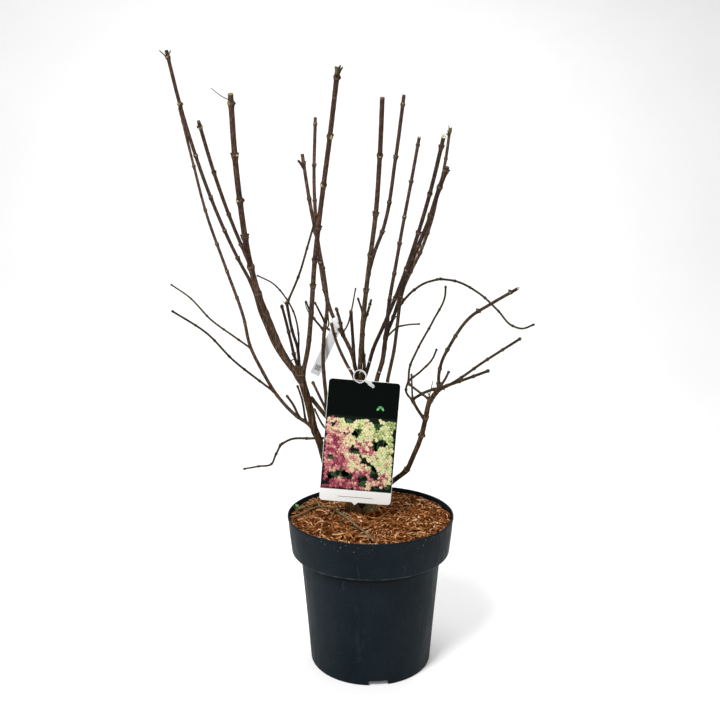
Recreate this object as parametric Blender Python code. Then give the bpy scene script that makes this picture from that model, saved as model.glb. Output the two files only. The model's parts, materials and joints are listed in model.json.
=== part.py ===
"""A leafless panicle hydrangea in its nursery pot, with the card that hangs at its fork."""

import math
from collections import namedtuple

import bmesh
import bpy
from mathutils import Matrix, Vector
from mathutils.bvhtree import BVHTree

# Sizes are in metres. Z is the pot's axis, its flat underside is at zero, and -Y is the front.
GAP = 0.0003

POT_HEIGHT = 0.282
POT_RIM_RADIUS = 0.1605
POT_FOOT_RADIUS = 0.1155
POT_WALL = 0.0026
POT_FLOOR = 0.012
POT_FLOOR_SPREAD = 0.0015
POT_LIP_ROUND = 0.0005
POT_SIDES = 40
COLLAR_FOOT_HEIGHT = 0.2125
COLLAR_FOOT_RADIUS = 0.1520
BODY_TOP_RADIUS = 0.1360
EDGE_ROUND = 0.0025
NOTCH_COUNT = 3
NOTCH_WIDTH = 0.036
NOTCH_HEIGHT = 0.0086
NOTCH_DEPTH = 0.045
NOTCH_OVERRUN = 0.005
NOTCH_FIRST = math.radians(-83.2)

MULCH_TOP = 0.275
MULCH_EDGE_DROP = 0.003
MULCH_WALL_GAP = 0.0008
MULCH_RINGS = (0.150, 0.125, 0.090)
MULCH_FLAT_RADIUS = 0.090
# Each wave of the mulch is its height, its count round the pot and its turn for a metre outwards.
MULCH_WAVES = ((0.0011, 5, 40.0), (0.0007, 9, -70.0))
MULCH_SINK = 0.0004

STOOL_CENTRE = Vector((-0.012, 0.034, 0.0))
STOOL_RADIUS = 0.030
STOOL_TOP_RADIUS = 0.019
STOOL_HEIGHT = 0.030
STOOL_SIDES = 12
STOOL_RINGS = (0.0, 0.15, 0.45, 0.8, 1.0)
STOOL_FLARE_POWER = 1.6
STOOL_SHOULDER = 0.72
STOOL_LOBES = 3
STOOL_LOBE_DEPTH = 0.12
STOOL_LOBE_TURN = 0.7
# The stool's mould grows along leaning vertex normals, so it needs a little more than the gap.
STOOL_MOULD_GAP = GAP * 1.3

# A node's swelling and its half length are shares of the limb's radius there.
NODE_SWELL = 1.26
NODE_HALF_LENGTH = 1.1
LAST_NODE_BELOW_TIP = 0.9
INTERNODE_GROWTH = 0.5
LONG_INTERNODE = 0.050
SHORTEST_TIP = 0.0015
CURVE_SAMPLES = 14
HEADING_REACH = 0.002
THIN_LIMB = 0.0050
THICK_LIMB = 0.0100
THIN_SIDES = 5
MIDDLE_SIDES = 6
THICK_SIDES = 8
SHARP_EDGE = math.radians(35)

CARD_WIDTH = 0.137
CARD_HEIGHT = 0.2365
CARD_THICKNESS = 0.0008
CARD_CORNER = 0.007
CARD_TURN = math.radians(4.75)
CARD_TOP_CENTRE = Vector((-0.011, -0.0205, 0.5440))
CARD_TOOTH_WIDTH = 0.012
CARD_TOOTH_DEPTH = 0.005
CARD_HOLE_RADIUS = 0.0022
CARD_HOLE_ALONG = 0.0175
CARD_HOLE_DOWN = 0.0085
CARD_HOLE_SIDES = 10

TIE_THICKNESS = 0.0022
TIE_SIDES = 6
TIE_RING_RADIUS = 0.0118
TIE_RING_SIDES = 20
TIE_RING_CENTRE = Vector((-0.0205, -0.0235, 0.5530))
TIE_NECK_HEIGHT = 0.474
TIE_NECK_CLEARANCE = 0.0006
TIE_NECK_SIDES = 16
TIE_LOCK_ANGLE = math.radians(-41)
TIE_LOCK_REACH = 0.0030
TIE_LOCK_RADIUS = 0.0015
TIE_PIN_RADIUS = 0.00175

FLAG_LENGTH = 0.118
FLAG_WIDTH = 0.019
FLAG_THICKNESS = 0.0007
FLAG_DROP = Vector((-0.048, 0.022, -0.104))
FLAG_OVERLAP = 0.004
SLEEVE_SIDES = 8
SLEEVE_LENGTH = 0.022
SLEEVE_OVERRUN = 0.010
FLAG_FOOT_SHARE = 0.3
SLEEVE_CENTRE_HEIGHT = 0.646

# A limb springs from its parent's middle line at the height `leaves`, or at the parent's tip, and
# passes the points of `course`, the last of which is its own tip. `foot` and `end` are its
# diameters there, and `nodes` holds the heights of its ringed joints, or only their number. A limb
# gives way to the limbs listed before it.
TIP = None
Limb = namedtuple("Limb", "parent leaves course foot end nodes")

TRUNKS = {
    "trunk_left": Limb("stool", 0.286, (
        (-0.060, 0.036, 0.318), (-0.0865, 0.032, 0.362), (-0.0925, 0.031, 0.386),
        (-0.102, 0.028, 0.4195), (-0.109, 0.026, 0.4365), (-0.119, 0.024, 0.482),
        (-0.139, 0.020, 0.557)), 0.0145, 0.0150, 3),
    "trunk_centre": Limb("stool", 0.292, (
        (-0.015, 0.036, 0.355), (-0.020, 0.032, 0.456), (-0.022, 0.030, 0.535)), 0.0190, 0.0150, 3),
    "trunk_right": Limb("stool", 0.286, (
        (0.020, 0.032, 0.314), (0.0472, 0.026, 0.3378), (0.0693, 0.014, 0.3602),
        (0.0849, 0.004, 0.3966), (0.0978, -0.008, 0.4361), (0.1052, -0.018, 0.4746),
        (0.110, -0.026, 0.5015), (0.130, -0.041, 0.536)), 0.0100, 0.0092, (0.362, 0.437, 0.472, 0.508)),
}

TALL_CANES = {
    "cane_left_thick": Limb("trunk_left", 0.536, (
        (-0.155, 0.014, 0.568), (-0.172, 0.010, 0.599), (-0.193, 0.003, 0.652),
        (-0.212, -0.006, 0.704), (-0.226, -0.016, 0.761), (-0.241, -0.043, 0.882),
        (-0.247, -0.058, 0.963), (-0.250, -0.080, 1.071)), 0.0120, 0.0100,
        (0.623, 0.671, 0.708, 0.760, 0.816, 0.883, 0.963, 1.053)),
    "cane_tall_front": Limb("trunk_left", 0.540, (
        (-0.1215, 0.005, 0.595), (-0.112, -0.028, 0.672), (-0.102, -0.074, 0.774),
        (-0.089, -0.118, 0.865), (-0.070, -0.181, 0.982), (-0.055, -0.240, 1.081)), 0.0094, 0.0082,
        (0.619, 0.675, 0.726, 0.775, 0.832, 0.905, 0.982, 1.068)),
    "cane_left_back": Limb("trunk_left", 0.424, (
        (-0.121, 0.038, 0.445), (-0.146, 0.044, 0.461), (-0.179, 0.054, 0.492),
        (-0.220, 0.063, 0.556), (-0.2405, 0.074, 0.595), (-0.256, 0.090, 0.652),
        (-0.294, 0.120, 0.746), (-0.3425, 0.150, 0.871), (-0.369, 0.171, 0.962),
        (-0.405, 0.200, 1.090)), 0.0072, 0.0054,
        (0.461, 0.500, 0.546, 0.599, 0.644, 0.691, 0.746, 0.800, 0.872, 0.963, 1.060)),
    "cane_left_far": Limb("cane_left_thick", 0.700, (
        (-0.255, 0.009, 0.777), (-0.309, 0.036, 0.891), (-0.341, 0.055, 0.973),
        (-0.375, 0.077, 1.075), (-0.406, 0.100, 1.186)), 0.0064, 0.0074,
        (0.775, 0.828, 0.891, 0.974, 1.076, 1.172)),
    "cane_left_short": Limb("cane_left_thick", 0.757, (
        (-0.238, -0.041, 0.797), (-0.255, -0.083, 0.856), (-0.271, -0.136, 0.927),
        (-0.283, -0.200, 1.004)), 0.0066, 0.0062, (0.801, 0.856, 0.926, 0.996)),
    "cane_centre": Limb("trunk_centre", 0.532, (
        (-0.018, 0.014, 0.604), (-0.015, -0.002, 0.651), (-0.0035, -0.043, 0.764),
        (0.0078, -0.079, 0.857), (0.014, -0.120, 0.957), (0.017, -0.160, 1.049)), 0.0092, 0.0082,
        (0.597, 0.654, 0.716, 0.783, 0.857, 0.957)),
    "cane_centre_branch": Limb("cane_centre", 0.742, (
        (0.007, -0.016, 0.787), (0.022, -0.001, 0.826), (0.0495, 0.054, 0.972),
        (0.068, 0.100, 1.102)), 0.0056, 0.0062, (0.825, 0.882, 0.971, 1.079)),
    "cane_right_thick": Limb("trunk_centre", 0.400, (
        (0.003, 0.020, 0.488), (0.013, 0.013, 0.543), (0.023, 0.008, 0.578),
        (0.0264, 0.004, 0.6028), (0.0291, -0.001, 0.629)), 0.0094, 0.0088, (0.470, 0.530, 0.575, 0.603)),
    "cane_right_inner": Limb("cane_right_thick", TIP, (
        (0.0364, -0.003, 0.6451), (0.0533, -0.010, 0.6964), (0.064, -0.016, 0.7347),
        (0.0765, -0.021, 0.7687), (0.0918, -0.028, 0.808), (0.106, -0.034, 0.8432),
        (0.1162, -0.039, 0.8761), (0.1258, -0.044, 0.9069), (0.1395, -0.050, 0.9445)), 0.0052, 0.0074,
        (0.664, 0.705, 0.747, 0.800, 0.855, 0.907, 0.936)),
    "cane_right_front": Limb("trunk_centre", 0.512, (
        (-0.007, 0.016, 0.556), (0.005, -0.008, 0.603), (0.023, -0.035, 0.649),
        (0.042, -0.066, 0.700), (0.0765, -0.139, 0.812), (0.0945, -0.193, 0.887),
        (0.110, -0.260, 0.973)), 0.0074, 0.0066, (0.601, 0.652, 0.705, 0.760, 0.823, 0.887, 0.957)),
    "cane_right_outer": Limb("stool", 0.288, (
        (0.016, 0.050, 0.355), (0.027, 0.056, 0.441), (0.0354, 0.067, 0.5299),
        (0.0479, 0.077, 0.5863), (0.0548, 0.086, 0.6359), (0.0599, 0.094, 0.6757),
        (0.067, 0.100, 0.7079), (0.0836, 0.107, 0.7462), (0.1016, 0.113, 0.7817),
        (0.118, 0.120, 0.8235), (0.1304, 0.128, 0.8625), (0.1397, 0.135, 0.9037),
        (0.1494, 0.142, 0.9389), (0.1586, 0.150, 0.9848), (0.167, 0.160, 1.0424)), 0.0078, 0.0062,
        (0.400, 0.465, 0.530, 0.586, 0.638, 0.688, 0.746, 0.783, 0.824, 0.918, 0.978, 1.033)),
    "cane_right_back": Limb("cane_right_thick", 0.620, (
        (0.0365, 0.040, 0.686), (0.051, 0.085, 0.756), (0.072, 0.144, 0.858),
        (0.088, 0.184, 0.932), (0.110, 0.240, 1.038)), 0.0072, 0.0072,
        (0.692, 0.743, 0.802, 0.857, 0.932, 1.015)),
    "cane_tall_back": Limb("trunk_centre", 0.360, (
        (-0.076, 0.038, 0.435), (-0.089, 0.040, 0.518), (-0.093, 0.043, 0.570),
        (-0.0915, 0.048, 0.622), (-0.086, 0.075, 0.679), (-0.094, 0.112, 0.738),
        (-0.107, 0.150, 0.799), (-0.119, 0.212, 0.916), (-0.120, 0.280, 1.082)), 0.0076, 0.0074,
        (0.430, 0.492, 0.550, 0.603, 0.689, 0.752, 0.817, 0.894, 0.972, 1.066)),
    "cane_centre_left": Limb("trunk_centre", 0.500, (
        (-0.039, 0.034, 0.594), (-0.060, 0.043, 0.634), (-0.074, 0.050, 0.660),
        (-0.089, 0.064, 0.704), (-0.106, 0.086, 0.806), (-0.123, 0.102, 0.892),
        (-0.138, 0.120, 0.984)), 0.0076, 0.0072, (0.560, 0.604, 0.710, 0.765, 0.825, 0.893, 0.965)),
}

SIDE_BOUGHS = {
    "bough_right_long": Limb("trunk_right", 0.533, (
        (0.126, -0.045, 0.554), (0.130, -0.050, 0.581), (0.1472, -0.060, 0.621),
        (0.1812, -0.075, 0.672), (0.216, -0.085, 0.696), (0.263, -0.100, 0.726)), 0.0050, 0.0046,
        (0.542, 0.572, 0.608, 0.635, 0.682, 0.717)),
    "bough_right_front": Limb("trunk_right", 0.526, (
        (0.158, -0.076, 0.556), (0.192, -0.131, 0.595), (0.242, -0.220, 0.651)), 0.0042, 0.0035, 6),
    "bough_right_link": Limb("trunk_right", 0.468, (
        (0.094, -0.020, 0.481), (0.078, -0.022, 0.508)), 0.0050, 0.0048, 1),
    "bough_right_back": Limb("bough_right_link", TIP, (
        (0.107, 0.003, 0.518), (0.145, 0.030, 0.523), (0.189, 0.062, 0.531),
        (0.245, 0.100, 0.543)), 0.0046, 0.0048, 6),
    "hook_foot": Limb("trunk_right", 0.508, (
        (0.092, -0.012, 0.521), (0.073, 0.007, 0.533)), 0.0038, 0.0036, 1),
    "hook_rise": Limb("hook_foot", TIP, (
        (0.076, 0.022, 0.561), (0.091, 0.042, 0.591), (0.1275, 0.085, 0.647),
        (0.155, 0.120, 0.696), (0.157, 0.130, 0.715)), 0.0036, 0.0034, 5),
    "arch_rise": Limb("cane_right_outer", 0.678, (
        (0.087, 0.091, 0.707), (0.108, 0.092, 0.721), (0.140, 0.092, 0.731)), 0.0042, 0.0038, 2),
    "arch_fall": Limb("arch_rise", TIP, (
        (0.174, 0.094, 0.726), (0.223, 0.096, 0.700), (0.261, 0.097, 0.665),
        (0.288, 0.099, 0.636), (0.310, 0.100, 0.629), (0.336, 0.100, 0.638)), 0.0038, 0.0032, 6),
    "droop_level": Limb("trunk_centre", 0.350, (
        (-0.084, 0.052, 0.413), (-0.122, 0.063, 0.411), (-0.160, 0.076, 0.406),
        (-0.182, 0.085, 0.393)), 0.0044, 0.0038, 4),
    "droop_fall": Limb("droop_level", TIP, (
        (-0.194, 0.092, 0.368), (-0.203, 0.099, 0.348), (-0.232, 0.109, 0.340),
        (-0.265, 0.120, 0.331)), 0.0038, 0.0030, 4),
}

SPURS = {
    "spur_left": Limb("trunk_left", 0.550, (
        (-0.149, 0.031, 0.584), (-0.157, 0.042, 0.613), (-0.1742, 0.066, 0.671),
        (-0.1775, 0.070, 0.681)), 0.0052, 0.0045, 3),
    "spur_middle": Limb("trunk_left", 0.553, (
        (-0.141, 0.012, 0.602), (-0.149, 0.000, 0.633), (-0.159, -0.020, 0.695)), 0.0064, 0.0054, 3),
    "stub_red": Limb("trunk_centre", 0.505, (
        (-0.031, 0.014, 0.573), (-0.034, 0.006, 0.619), (-0.038, -0.004, 0.677)), 0.0070, 0.0062, 3),
    "stub_fork": Limb("cane_centre_left", 0.622, (
        (-0.0598, 0.020, 0.656), (-0.0663, 0.000, 0.681)), 0.0054, 0.0042, 2),
    "stub_fork_left": Limb("trunk_centre", 0.494, (
        (-0.0355, 0.024, 0.549), (-0.0465, 0.021, 0.569), (-0.0652, 0.018, 0.611),
        (-0.076, 0.012, 0.651)), 0.0066, 0.0056, 3),
    "stub_cross_thick": Limb("trunk_centre", 0.384, (
        (-0.068, 0.034, 0.439), (-0.091, 0.039, 0.466), (-0.119, 0.044, 0.500)), 0.0096, 0.0080, 2),
    "stub_cross_middle": Limb("stub_cross_thick", 0.437, (
        (-0.090, 0.015, 0.488), (-0.112, 0.000, 0.539)), 0.0050, 0.0042, 2),
    "stub_cross_thin": Limb("stub_cross_thick", 0.402, (
        (-0.091, 0.016, 0.447), (-0.109, 0.006, 0.485)), 0.0040, 0.0030, 1),
    "stub_outer": Limb("cane_left_back", 0.458, (
        (-0.150, 0.017, 0.489), (-0.162, 0.000, 0.512)), 0.0048, 0.0036, 1),
    "stub_inner": Limb("cane_left_back", 0.450, (
        (-0.137, 0.060, 0.493), (-0.147, 0.072, 0.518)), 0.0040, 0.0032, 1),
    "stub_centre_left": Limb("cane_centre_left", 0.955, (
        (-0.145, 0.100, 0.969),), 0.0048, 0.0040, 0),
    "stub_right_outer": Limb("trunk_right", 0.530, (
        (0.137, -0.070, 0.559), (0.140, -0.090, 0.574)), 0.0042, 0.0034, 1),
    "stub_right_thin": Limb("cane_right_thick", 0.618, (
        (0.0325, -0.014, 0.655), (0.034, -0.022, 0.684), (0.035, -0.030, 0.706)), 0.0046, 0.0038, 2),
}

TWIGS = {
    "twig_left_upper": Limb("cane_left_back", 0.592, (
        (-0.282, 0.120, 0.611), (-0.336, 0.164, 0.640), (-0.390, 0.207, 0.684),
        (-0.439, 0.240, 0.711)), 0.0036, 0.0028, 5),
    "twig_left_lower": Limb("cane_left_back", 0.506, (
        (-0.225, 0.048, 0.535), (-0.265, 0.014, 0.577), (-0.307, -0.030, 0.635),
        (-0.361, -0.080, 0.683)), 0.0038, 0.0030, 6),
    "twig_arch_left": Limb("spur_middle", 0.590, (
        (-0.1395, 0.020, 0.626), (-0.149, 0.032, 0.667), (-0.1655, 0.041, 0.696),
        (-0.192, 0.052, 0.724), (-0.225, 0.060, 0.740)), 0.0032, 0.0024, 4),
    "twig_rise_left": Limb("twig_arch_left", 0.690, (
        (-0.1395, 0.042, 0.742), (-0.1235, 0.050, 0.796), (-0.105, 0.060, 0.862)), 0.0038, 0.0034, 3),
    "twig_back_long": Limb("cane_tall_back", 0.630, (
        (-0.114, 0.055, 0.658), (-0.127, 0.040, 0.691)), 0.0040, 0.0030, 2),
    "twig_back_short": Limb("cane_tall_back", 0.645, (
        (-0.108, 0.020, 0.690),), 0.0038, 0.0030, 1),
    "twig_fork": Limb("cane_centre_left", 0.626, (
        (-0.045, 0.050, 0.642), (-0.040, 0.058, 0.659), (-0.029, 0.090, 0.713)), 0.0030, 0.0024, 2),
    "spur_centre_right": Limb("trunk_centre", 0.528, (
        (-0.0125, 0.025, 0.5575), (-0.0148, 0.022, 0.6002), (-0.0142, 0.015, 0.6238),
        (-0.0125, 0.006, 0.6456), (-0.0093, -0.002, 0.6625), (-0.0056, -0.010, 0.6736),
        (-0.0025, -0.022, 0.6865), (0.0008, -0.034, 0.700)), 0.0056, 0.0038, (0.585, 0.628, 0.668, 0.690)),
    "spur_centre_left": Limb("cane_centre", 0.668, (
        (-0.025, -0.006, 0.701),), 0.0038, 0.0030, 1),
    "twig_right_level": Limb("cane_right_thick", 0.622, (
        (0.049, -0.021, 0.645), (0.063, -0.050, 0.653), (0.086, -0.100, 0.661)), 0.0030, 0.0024, 2),
    "twig_right_curl": Limb("bough_right_link", 0.504, (
        (0.066, -0.034, 0.527), (0.068, -0.042, 0.542), (0.090, -0.070, 0.570),
        (0.110, -0.098, 0.599), (0.116, -0.110, 0.618)), 0.0036, 0.0028, 4),
    "twig_right_spur": Limb("bough_right_link", 0.506, (
        (0.079, -0.004, 0.533), (0.079, 0.010, 0.552)), 0.0032, 0.0026, 1),
}

DEAD_TWIG_RINGS = 7
DEAD_TWIG_TAPER = 0.3
DEAD_TWIG_SIDES = 5
# A dead twig's course, its thickness, and the height of its axis over the mulch's flat middle.
DEAD_TWIGS = {
    "dead_twig_long": (((-0.070, 0.014), (-0.052, -0.012), (-0.031, -0.058), (-0.008, -0.108),
                        (0.004, -0.140)), 0.0034, 0.0020),
    "dead_twig_short": (((-0.146, 0.014), (-0.126, 0.040), (-0.104, 0.062)), 0.0028, 0.0021),
}

# Colour as linear red, green and blue, then roughness. No surface here is metal.
FINISHES = {
    "pot_plastic": ((0.012, 0.017, 0.022), 0.55),
    "bark_mulch": ((0.230, 0.095, 0.040), 0.95),
    "old_wood": ((0.150, 0.095, 0.055), 0.90),
    "cane_bark": ((0.105, 0.045, 0.026), 0.75),
    "twig_bark": ((0.140, 0.080, 0.045), 0.80),
    "dry_twig": ((0.220, 0.150, 0.085), 0.90),
    "printed_card": ((0.030, 0.040, 0.036), 0.45),
    "white_plastic": ((0.800, 0.800, 0.780), 0.40),
}


def clear_scene():
    """Empties the file, so that the shrub stands alone."""
    for obj in list(bpy.data.objects):
        bpy.data.objects.remove(obj, do_unlink=True)


def finish_of(name):
    """The Principled material of that name, made on its first use."""
    material = bpy.data.materials.get(name)
    if material is None:
        colour, roughness = FINISHES[name]
        material = bpy.data.materials.new(name)
        material.use_nodes = True
        shader = material.node_tree.nodes["Principled BSDF"]
        shader.inputs["Base Color"].default_value = (*colour, 1.0)
        shader.inputs["Roughness"].default_value = roughness
        shader.inputs["Metallic"].default_value = 0.0
    return material


def add_object(name, bm, finish):
    """Turns a bmesh into a named object with its own copy of a finish."""
    bmesh.ops.recalc_face_normals(bm, faces=bm.faces[:])
    mesh = bpy.data.meshes.new(name)
    bm.to_mesh(mesh)
    bm.free()
    mesh.shade_smooth()
    mesh.set_sharp_from_angle(angle=SHARP_EDGE)
    obj = bpy.data.objects.new(name, mesh)
    bpy.context.scene.collection.objects.link(obj)
    material = finish_of(finish).copy()
    material.name = name
    mesh.materials.append(material)
    return obj


def apply_boolean(obj, other, operation):
    """Cuts or joins one closed solid by another and removes the other."""
    modifier = obj.modifiers.new(operation, "BOOLEAN")
    modifier.operation = operation
    modifier.solver = "EXACT"
    modifier.object = other
    evaluated = obj.evaluated_get(bpy.context.evaluated_depsgraph_get())
    shaped = bpy.data.meshes.new_from_object(evaluated)
    obj.modifiers.remove(modifier)
    old = obj.data
    obj.data = shaped
    bpy.data.meshes.remove(old)
    bpy.data.objects.remove(other, do_unlink=True)


def islands(bm):
    """Groups the faces of a bmesh that hang together."""
    groups = []
    seen = set()
    for start in bm.faces:
        if start in seen:
            continue
        seen.add(start)
        group = [start]
        for face in group:
            for edge in face.edges:
                for neighbour in edge.link_faces:
                    if neighbour not in seen:
                        seen.add(neighbour)
                        group.append(neighbour)
        groups.append(group)
    return groups


def keep_largest_piece(obj):
    """Drops the scraps that a cut leaves, and the slivers along it."""
    bm = bmesh.new()
    bm.from_mesh(obj.data)
    bmesh.ops.dissolve_degenerate(bm, edges=bm.edges[:], dist=0.000002)
    groups = sorted(islands(bm), key=lambda group: sum(face.calc_area() for face in group))
    scraps = [face for group in groups[:-1] for face in group]
    bmesh.ops.delete(bm, geom=scraps, context="FACES")
    bmesh.ops.triangulate(bm, faces=bm.faces[:])
    bm.to_mesh(obj.data)
    bm.free()
    obj.data.shade_smooth()
    obj.data.set_sharp_from_angle(angle=SHARP_EDGE)


class Course:
    """A smooth line through a limb's points, measured along its length."""

    def __init__(self, points):
        points = [Vector(point) for point in points]
        spans = [(b - a).length for a, b in zip(points, points[1:])]
        slopes = [(b - a) / span for a, b, span in zip(points, points[1:], spans)]
        headings = [slopes[0]]
        for before, after, span_before, span_after in zip(slopes, slopes[1:], spans, spans[1:]):
            headings.append((before * span_after + after * span_before) / (span_before + span_after))
        headings.append(slopes[-1])
        self.samples = [points[0]]
        for i, span in enumerate(spans):
            for step in range(1, CURVE_SAMPLES + 1):
                t = step / CURVE_SAMPLES
                self.samples.append(
                    points[i] * (2 * t**3 - 3 * t**2 + 1)
                    + headings[i] * span * (t**3 - 2 * t**2 + t)
                    + points[i + 1] * (3 * t**2 - 2 * t**3)
                    + headings[i + 1] * span * (t**3 - t**2))
        self.reach = [0.0]
        for a, b in zip(self.samples, self.samples[1:]):
            self.reach.append(self.reach[-1] + (b - a).length)
        self.length = self.reach[-1]

    def at(self, distance):
        """The point at a distance from the foot, carried straight on past either end."""
        if distance < 0.0:
            return self.samples[0] + (self.samples[0] - self.samples[1]).normalized() * -distance
        if distance > self.length:
            onward = (self.samples[-1] - self.samples[-2]).normalized()
            return self.samples[-1] + onward * (distance - self.length)
        for i in range(1, len(self.reach)):
            if self.reach[i] >= distance:
                share = (distance - self.reach[i - 1]) / (self.reach[i] - self.reach[i - 1])
                return self.samples[i - 1].lerp(self.samples[i], share)
        return self.samples[-1]

    def heading(self, distance):
        """The direction of growth at a distance from the foot."""
        return (self.at(distance + HEADING_REACH) - self.at(distance - HEADING_REACH)).normalized()

    def distance_at_height(self, height):
        """How far along the line first comes up to a height, or the whole length."""
        for i in range(1, len(self.samples)):
            below = self.samples[i - 1].z
            above = self.samples[i].z
            if height is not TIP and below <= height <= above:
                share = (height - below) / (above - below)
                return self.reach[i - 1] + share * (self.reach[i] - self.reach[i - 1])
        return self.length

    def at_height(self, height):
        """The first point where the line comes up to a height, or its tip."""
        return self.at(self.distance_at_height(height))


def limb_radius(limb, length, distance):
    """The radius of a limb at a distance from its foot, between its nodes."""
    return 0.5 * (limb.foot + (limb.end - limb.foot) * distance / length)


def node_distances(limb, course):
    """Where the ringed nodes lie: at their heights, or spread so that they widen up the limb."""
    if isinstance(limb.nodes, tuple):
        return [course.distance_at_height(height) for height in limb.nodes]
    weights = [1.0 + INTERNODE_GROWTH * i / limb.nodes for i in range(limb.nodes)]
    last = course.length - LAST_NODE_BELOW_TIP * limb.end
    distances = []
    passed = 0.0
    for weight in weights:
        passed += weight
        distances.append(last * passed / sum(weights))
    return distances


def stations(limb, course, sides, swell):
    """Distances and radii of the rings that make a limb, with `swell` added to each radius."""
    length = course.length

    def radius(distance):
        return limb_radius(limb, length, distance)

    rings = [(0.0, radius(0.0))]
    for distance in node_distances(limb, course):
        before = rings[-1][0]
        half = NODE_HALF_LENGTH * radius(distance)
        stretch = distance - half - before
        pieces = 1 + int(stretch / LONG_INTERNODE)
        for piece in range(1, pieces):
            middle = before + stretch * piece / pieces
            rings.append((middle, radius(middle)))
        rings.append((distance - half, radius(distance)))
        rings.append((distance, radius(distance) * NODE_SWELL))
        if distance + half < length:
            rings.append((distance + half, radius(distance)))
    if rings[-1][0] < length - SHORTEST_TIP:
        pieces = 1 + int((length - rings[-1][0]) / LONG_INTERNODE)
        start = rings[-1][0]
        for piece in range(1, pieces + 1):
            middle = start + (length - start) * piece / pieces
            rings.append((middle, radius(middle)))
    flat_to_flat = 1.0 / math.cos(math.pi / sides)
    rings[0] = (-swell, rings[0][1])
    rings[-1] = (length + swell, rings[-1][1])
    return [(distance, (size + swell) * flat_to_flat) for distance, size in rings]


def tube(course, rings, sides):
    """Skins rings along a course, closed at both ends, with no twist between them."""
    bm = bmesh.new()
    heading = course.heading(rings[0][0])
    side = heading.orthogonal().normalized()
    loops = []
    for distance, radius in rings:
        new_heading = course.heading(distance)
        side = heading.rotation_difference(new_heading) @ side
        heading = new_heading
        across = heading.cross(side)
        centre = course.at(distance)
        loop = []
        for k in range(sides):
            angle = 2 * math.pi * k / sides
            loop.append(bm.verts.new(centre + (side * math.cos(angle) + across * math.sin(angle)) * radius))
        loops.append(loop)
    for lower, upper in zip(loops, loops[1:]):
        for k in range(sides):
            bm.faces.new((lower[k], lower[(k + 1) % sides], upper[(k + 1) % sides], upper[k]))
    bm.faces.new(list(reversed(loops[0])))
    bm.faces.new(loops[-1])
    return bm


def turned(profile, sides, ripple=None):
    """Turns a closed profile of (radius, height) points, whose two ends lie on the axis, about Z."""
    bm = bmesh.new()
    loops = []
    for radius, height in profile[1:-1]:
        loop = []
        for k in range(sides):
            angle = 2 * math.pi * k / sides
            lift = ripple(radius, angle) if ripple and height >= MULCH_TOP else 0.0
            loop.append(bm.verts.new((radius * math.cos(angle), radius * math.sin(angle), height + lift)))
        loops.append(loop)
    for lower, upper in zip(loops, loops[1:]):
        for k in range(sides):
            bm.faces.new((lower[k], lower[(k + 1) % sides], upper[(k + 1) % sides], upper[k]))
    for (radius, height), loop in ((profile[0], loops[0]), (profile[-1], loops[-1])):
        pole = bm.verts.new((0.0, 0.0, height))
        for k in range(sides):
            bm.faces.new((pole, loop[k], loop[(k + 1) % sides]))
    return bm


def box(size, centre, turn=0.0):
    """A block as a bmesh, turned about Z."""
    bm = bmesh.new()
    placed = Matrix.Rotation(turn, 4, "Z") @ Matrix.Translation(centre) @ Matrix.Diagonal((*size, 1.0))
    bmesh.ops.create_cube(bm, size=1.0, matrix=placed)
    return bm


def inner_profile(offset):
    """The pot's inner wall from floor to rim, moved inwards by an offset."""
    lower = POT_FOOT_RADIUS + POT_FLOOR_SPREAD - POT_WALL - offset
    upper = BODY_TOP_RADIUS - POT_WALL - offset
    collar_low = COLLAR_FOOT_RADIUS - POT_WALL - offset
    ledge = COLLAR_FOOT_HEIGHT + POT_WALL + offset
    return [(lower, POT_FLOOR + offset), (upper, ledge), (collar_low, ledge)]


def make_pot():
    """The pot: tapering body, stepped-out collar, lip, and notches in the foot."""
    rim_inner = POT_RIM_RADIUS - POT_WALL
    outer = [
        (0.0, 0.0),
        (POT_FOOT_RADIUS - EDGE_ROUND, 0.0),
        (POT_FOOT_RADIUS, EDGE_ROUND),
        (BODY_TOP_RADIUS, COLLAR_FOOT_HEIGHT + EDGE_ROUND / 2),
        (COLLAR_FOOT_RADIUS - EDGE_ROUND, COLLAR_FOOT_HEIGHT),
        (COLLAR_FOOT_RADIUS, COLLAR_FOOT_HEIGHT + EDGE_ROUND),
        (POT_RIM_RADIUS, POT_HEIGHT - EDGE_ROUND),
        (POT_RIM_RADIUS - POT_LIP_ROUND, POT_HEIGHT - POT_LIP_ROUND),
        (rim_inner + POT_LIP_ROUND, POT_HEIGHT),
        (rim_inner, POT_HEIGHT - 2 * POT_LIP_ROUND),
    ]
    inner = list(reversed(inner_profile(0.0))) + [(0.0, POT_FLOOR)]
    pot = add_object("pot", turned(outer + inner, POT_SIDES), "pot_plastic")
    for k in range(NOTCH_COUNT):
        turn = NOTCH_FIRST + 2 * math.pi * k / NOTCH_COUNT
        size = (NOTCH_DEPTH, NOTCH_WIDTH, 2 * NOTCH_HEIGHT)
        centre = (POT_FOOT_RADIUS + NOTCH_OVERRUN - NOTCH_DEPTH / 2, 0.0, 0.0)
        cutter = add_object("notch_cutter", box(size, centre, turn), "pot_plastic")
        apply_boolean(pot, cutter, "DIFFERENCE")
    keep_largest_piece(pot)


def mulch_ripple(radius, angle):
    """The uneven lie of the mulch, flat where the stool stands and low at the wall."""
    if radius <= MULCH_FLAT_RADIUS:
        return 0.0
    waves = (size * math.sin(count * angle + turn * radius) for size, count, turn in MULCH_WAVES)
    return sum(waves) - MULCH_SINK


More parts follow.
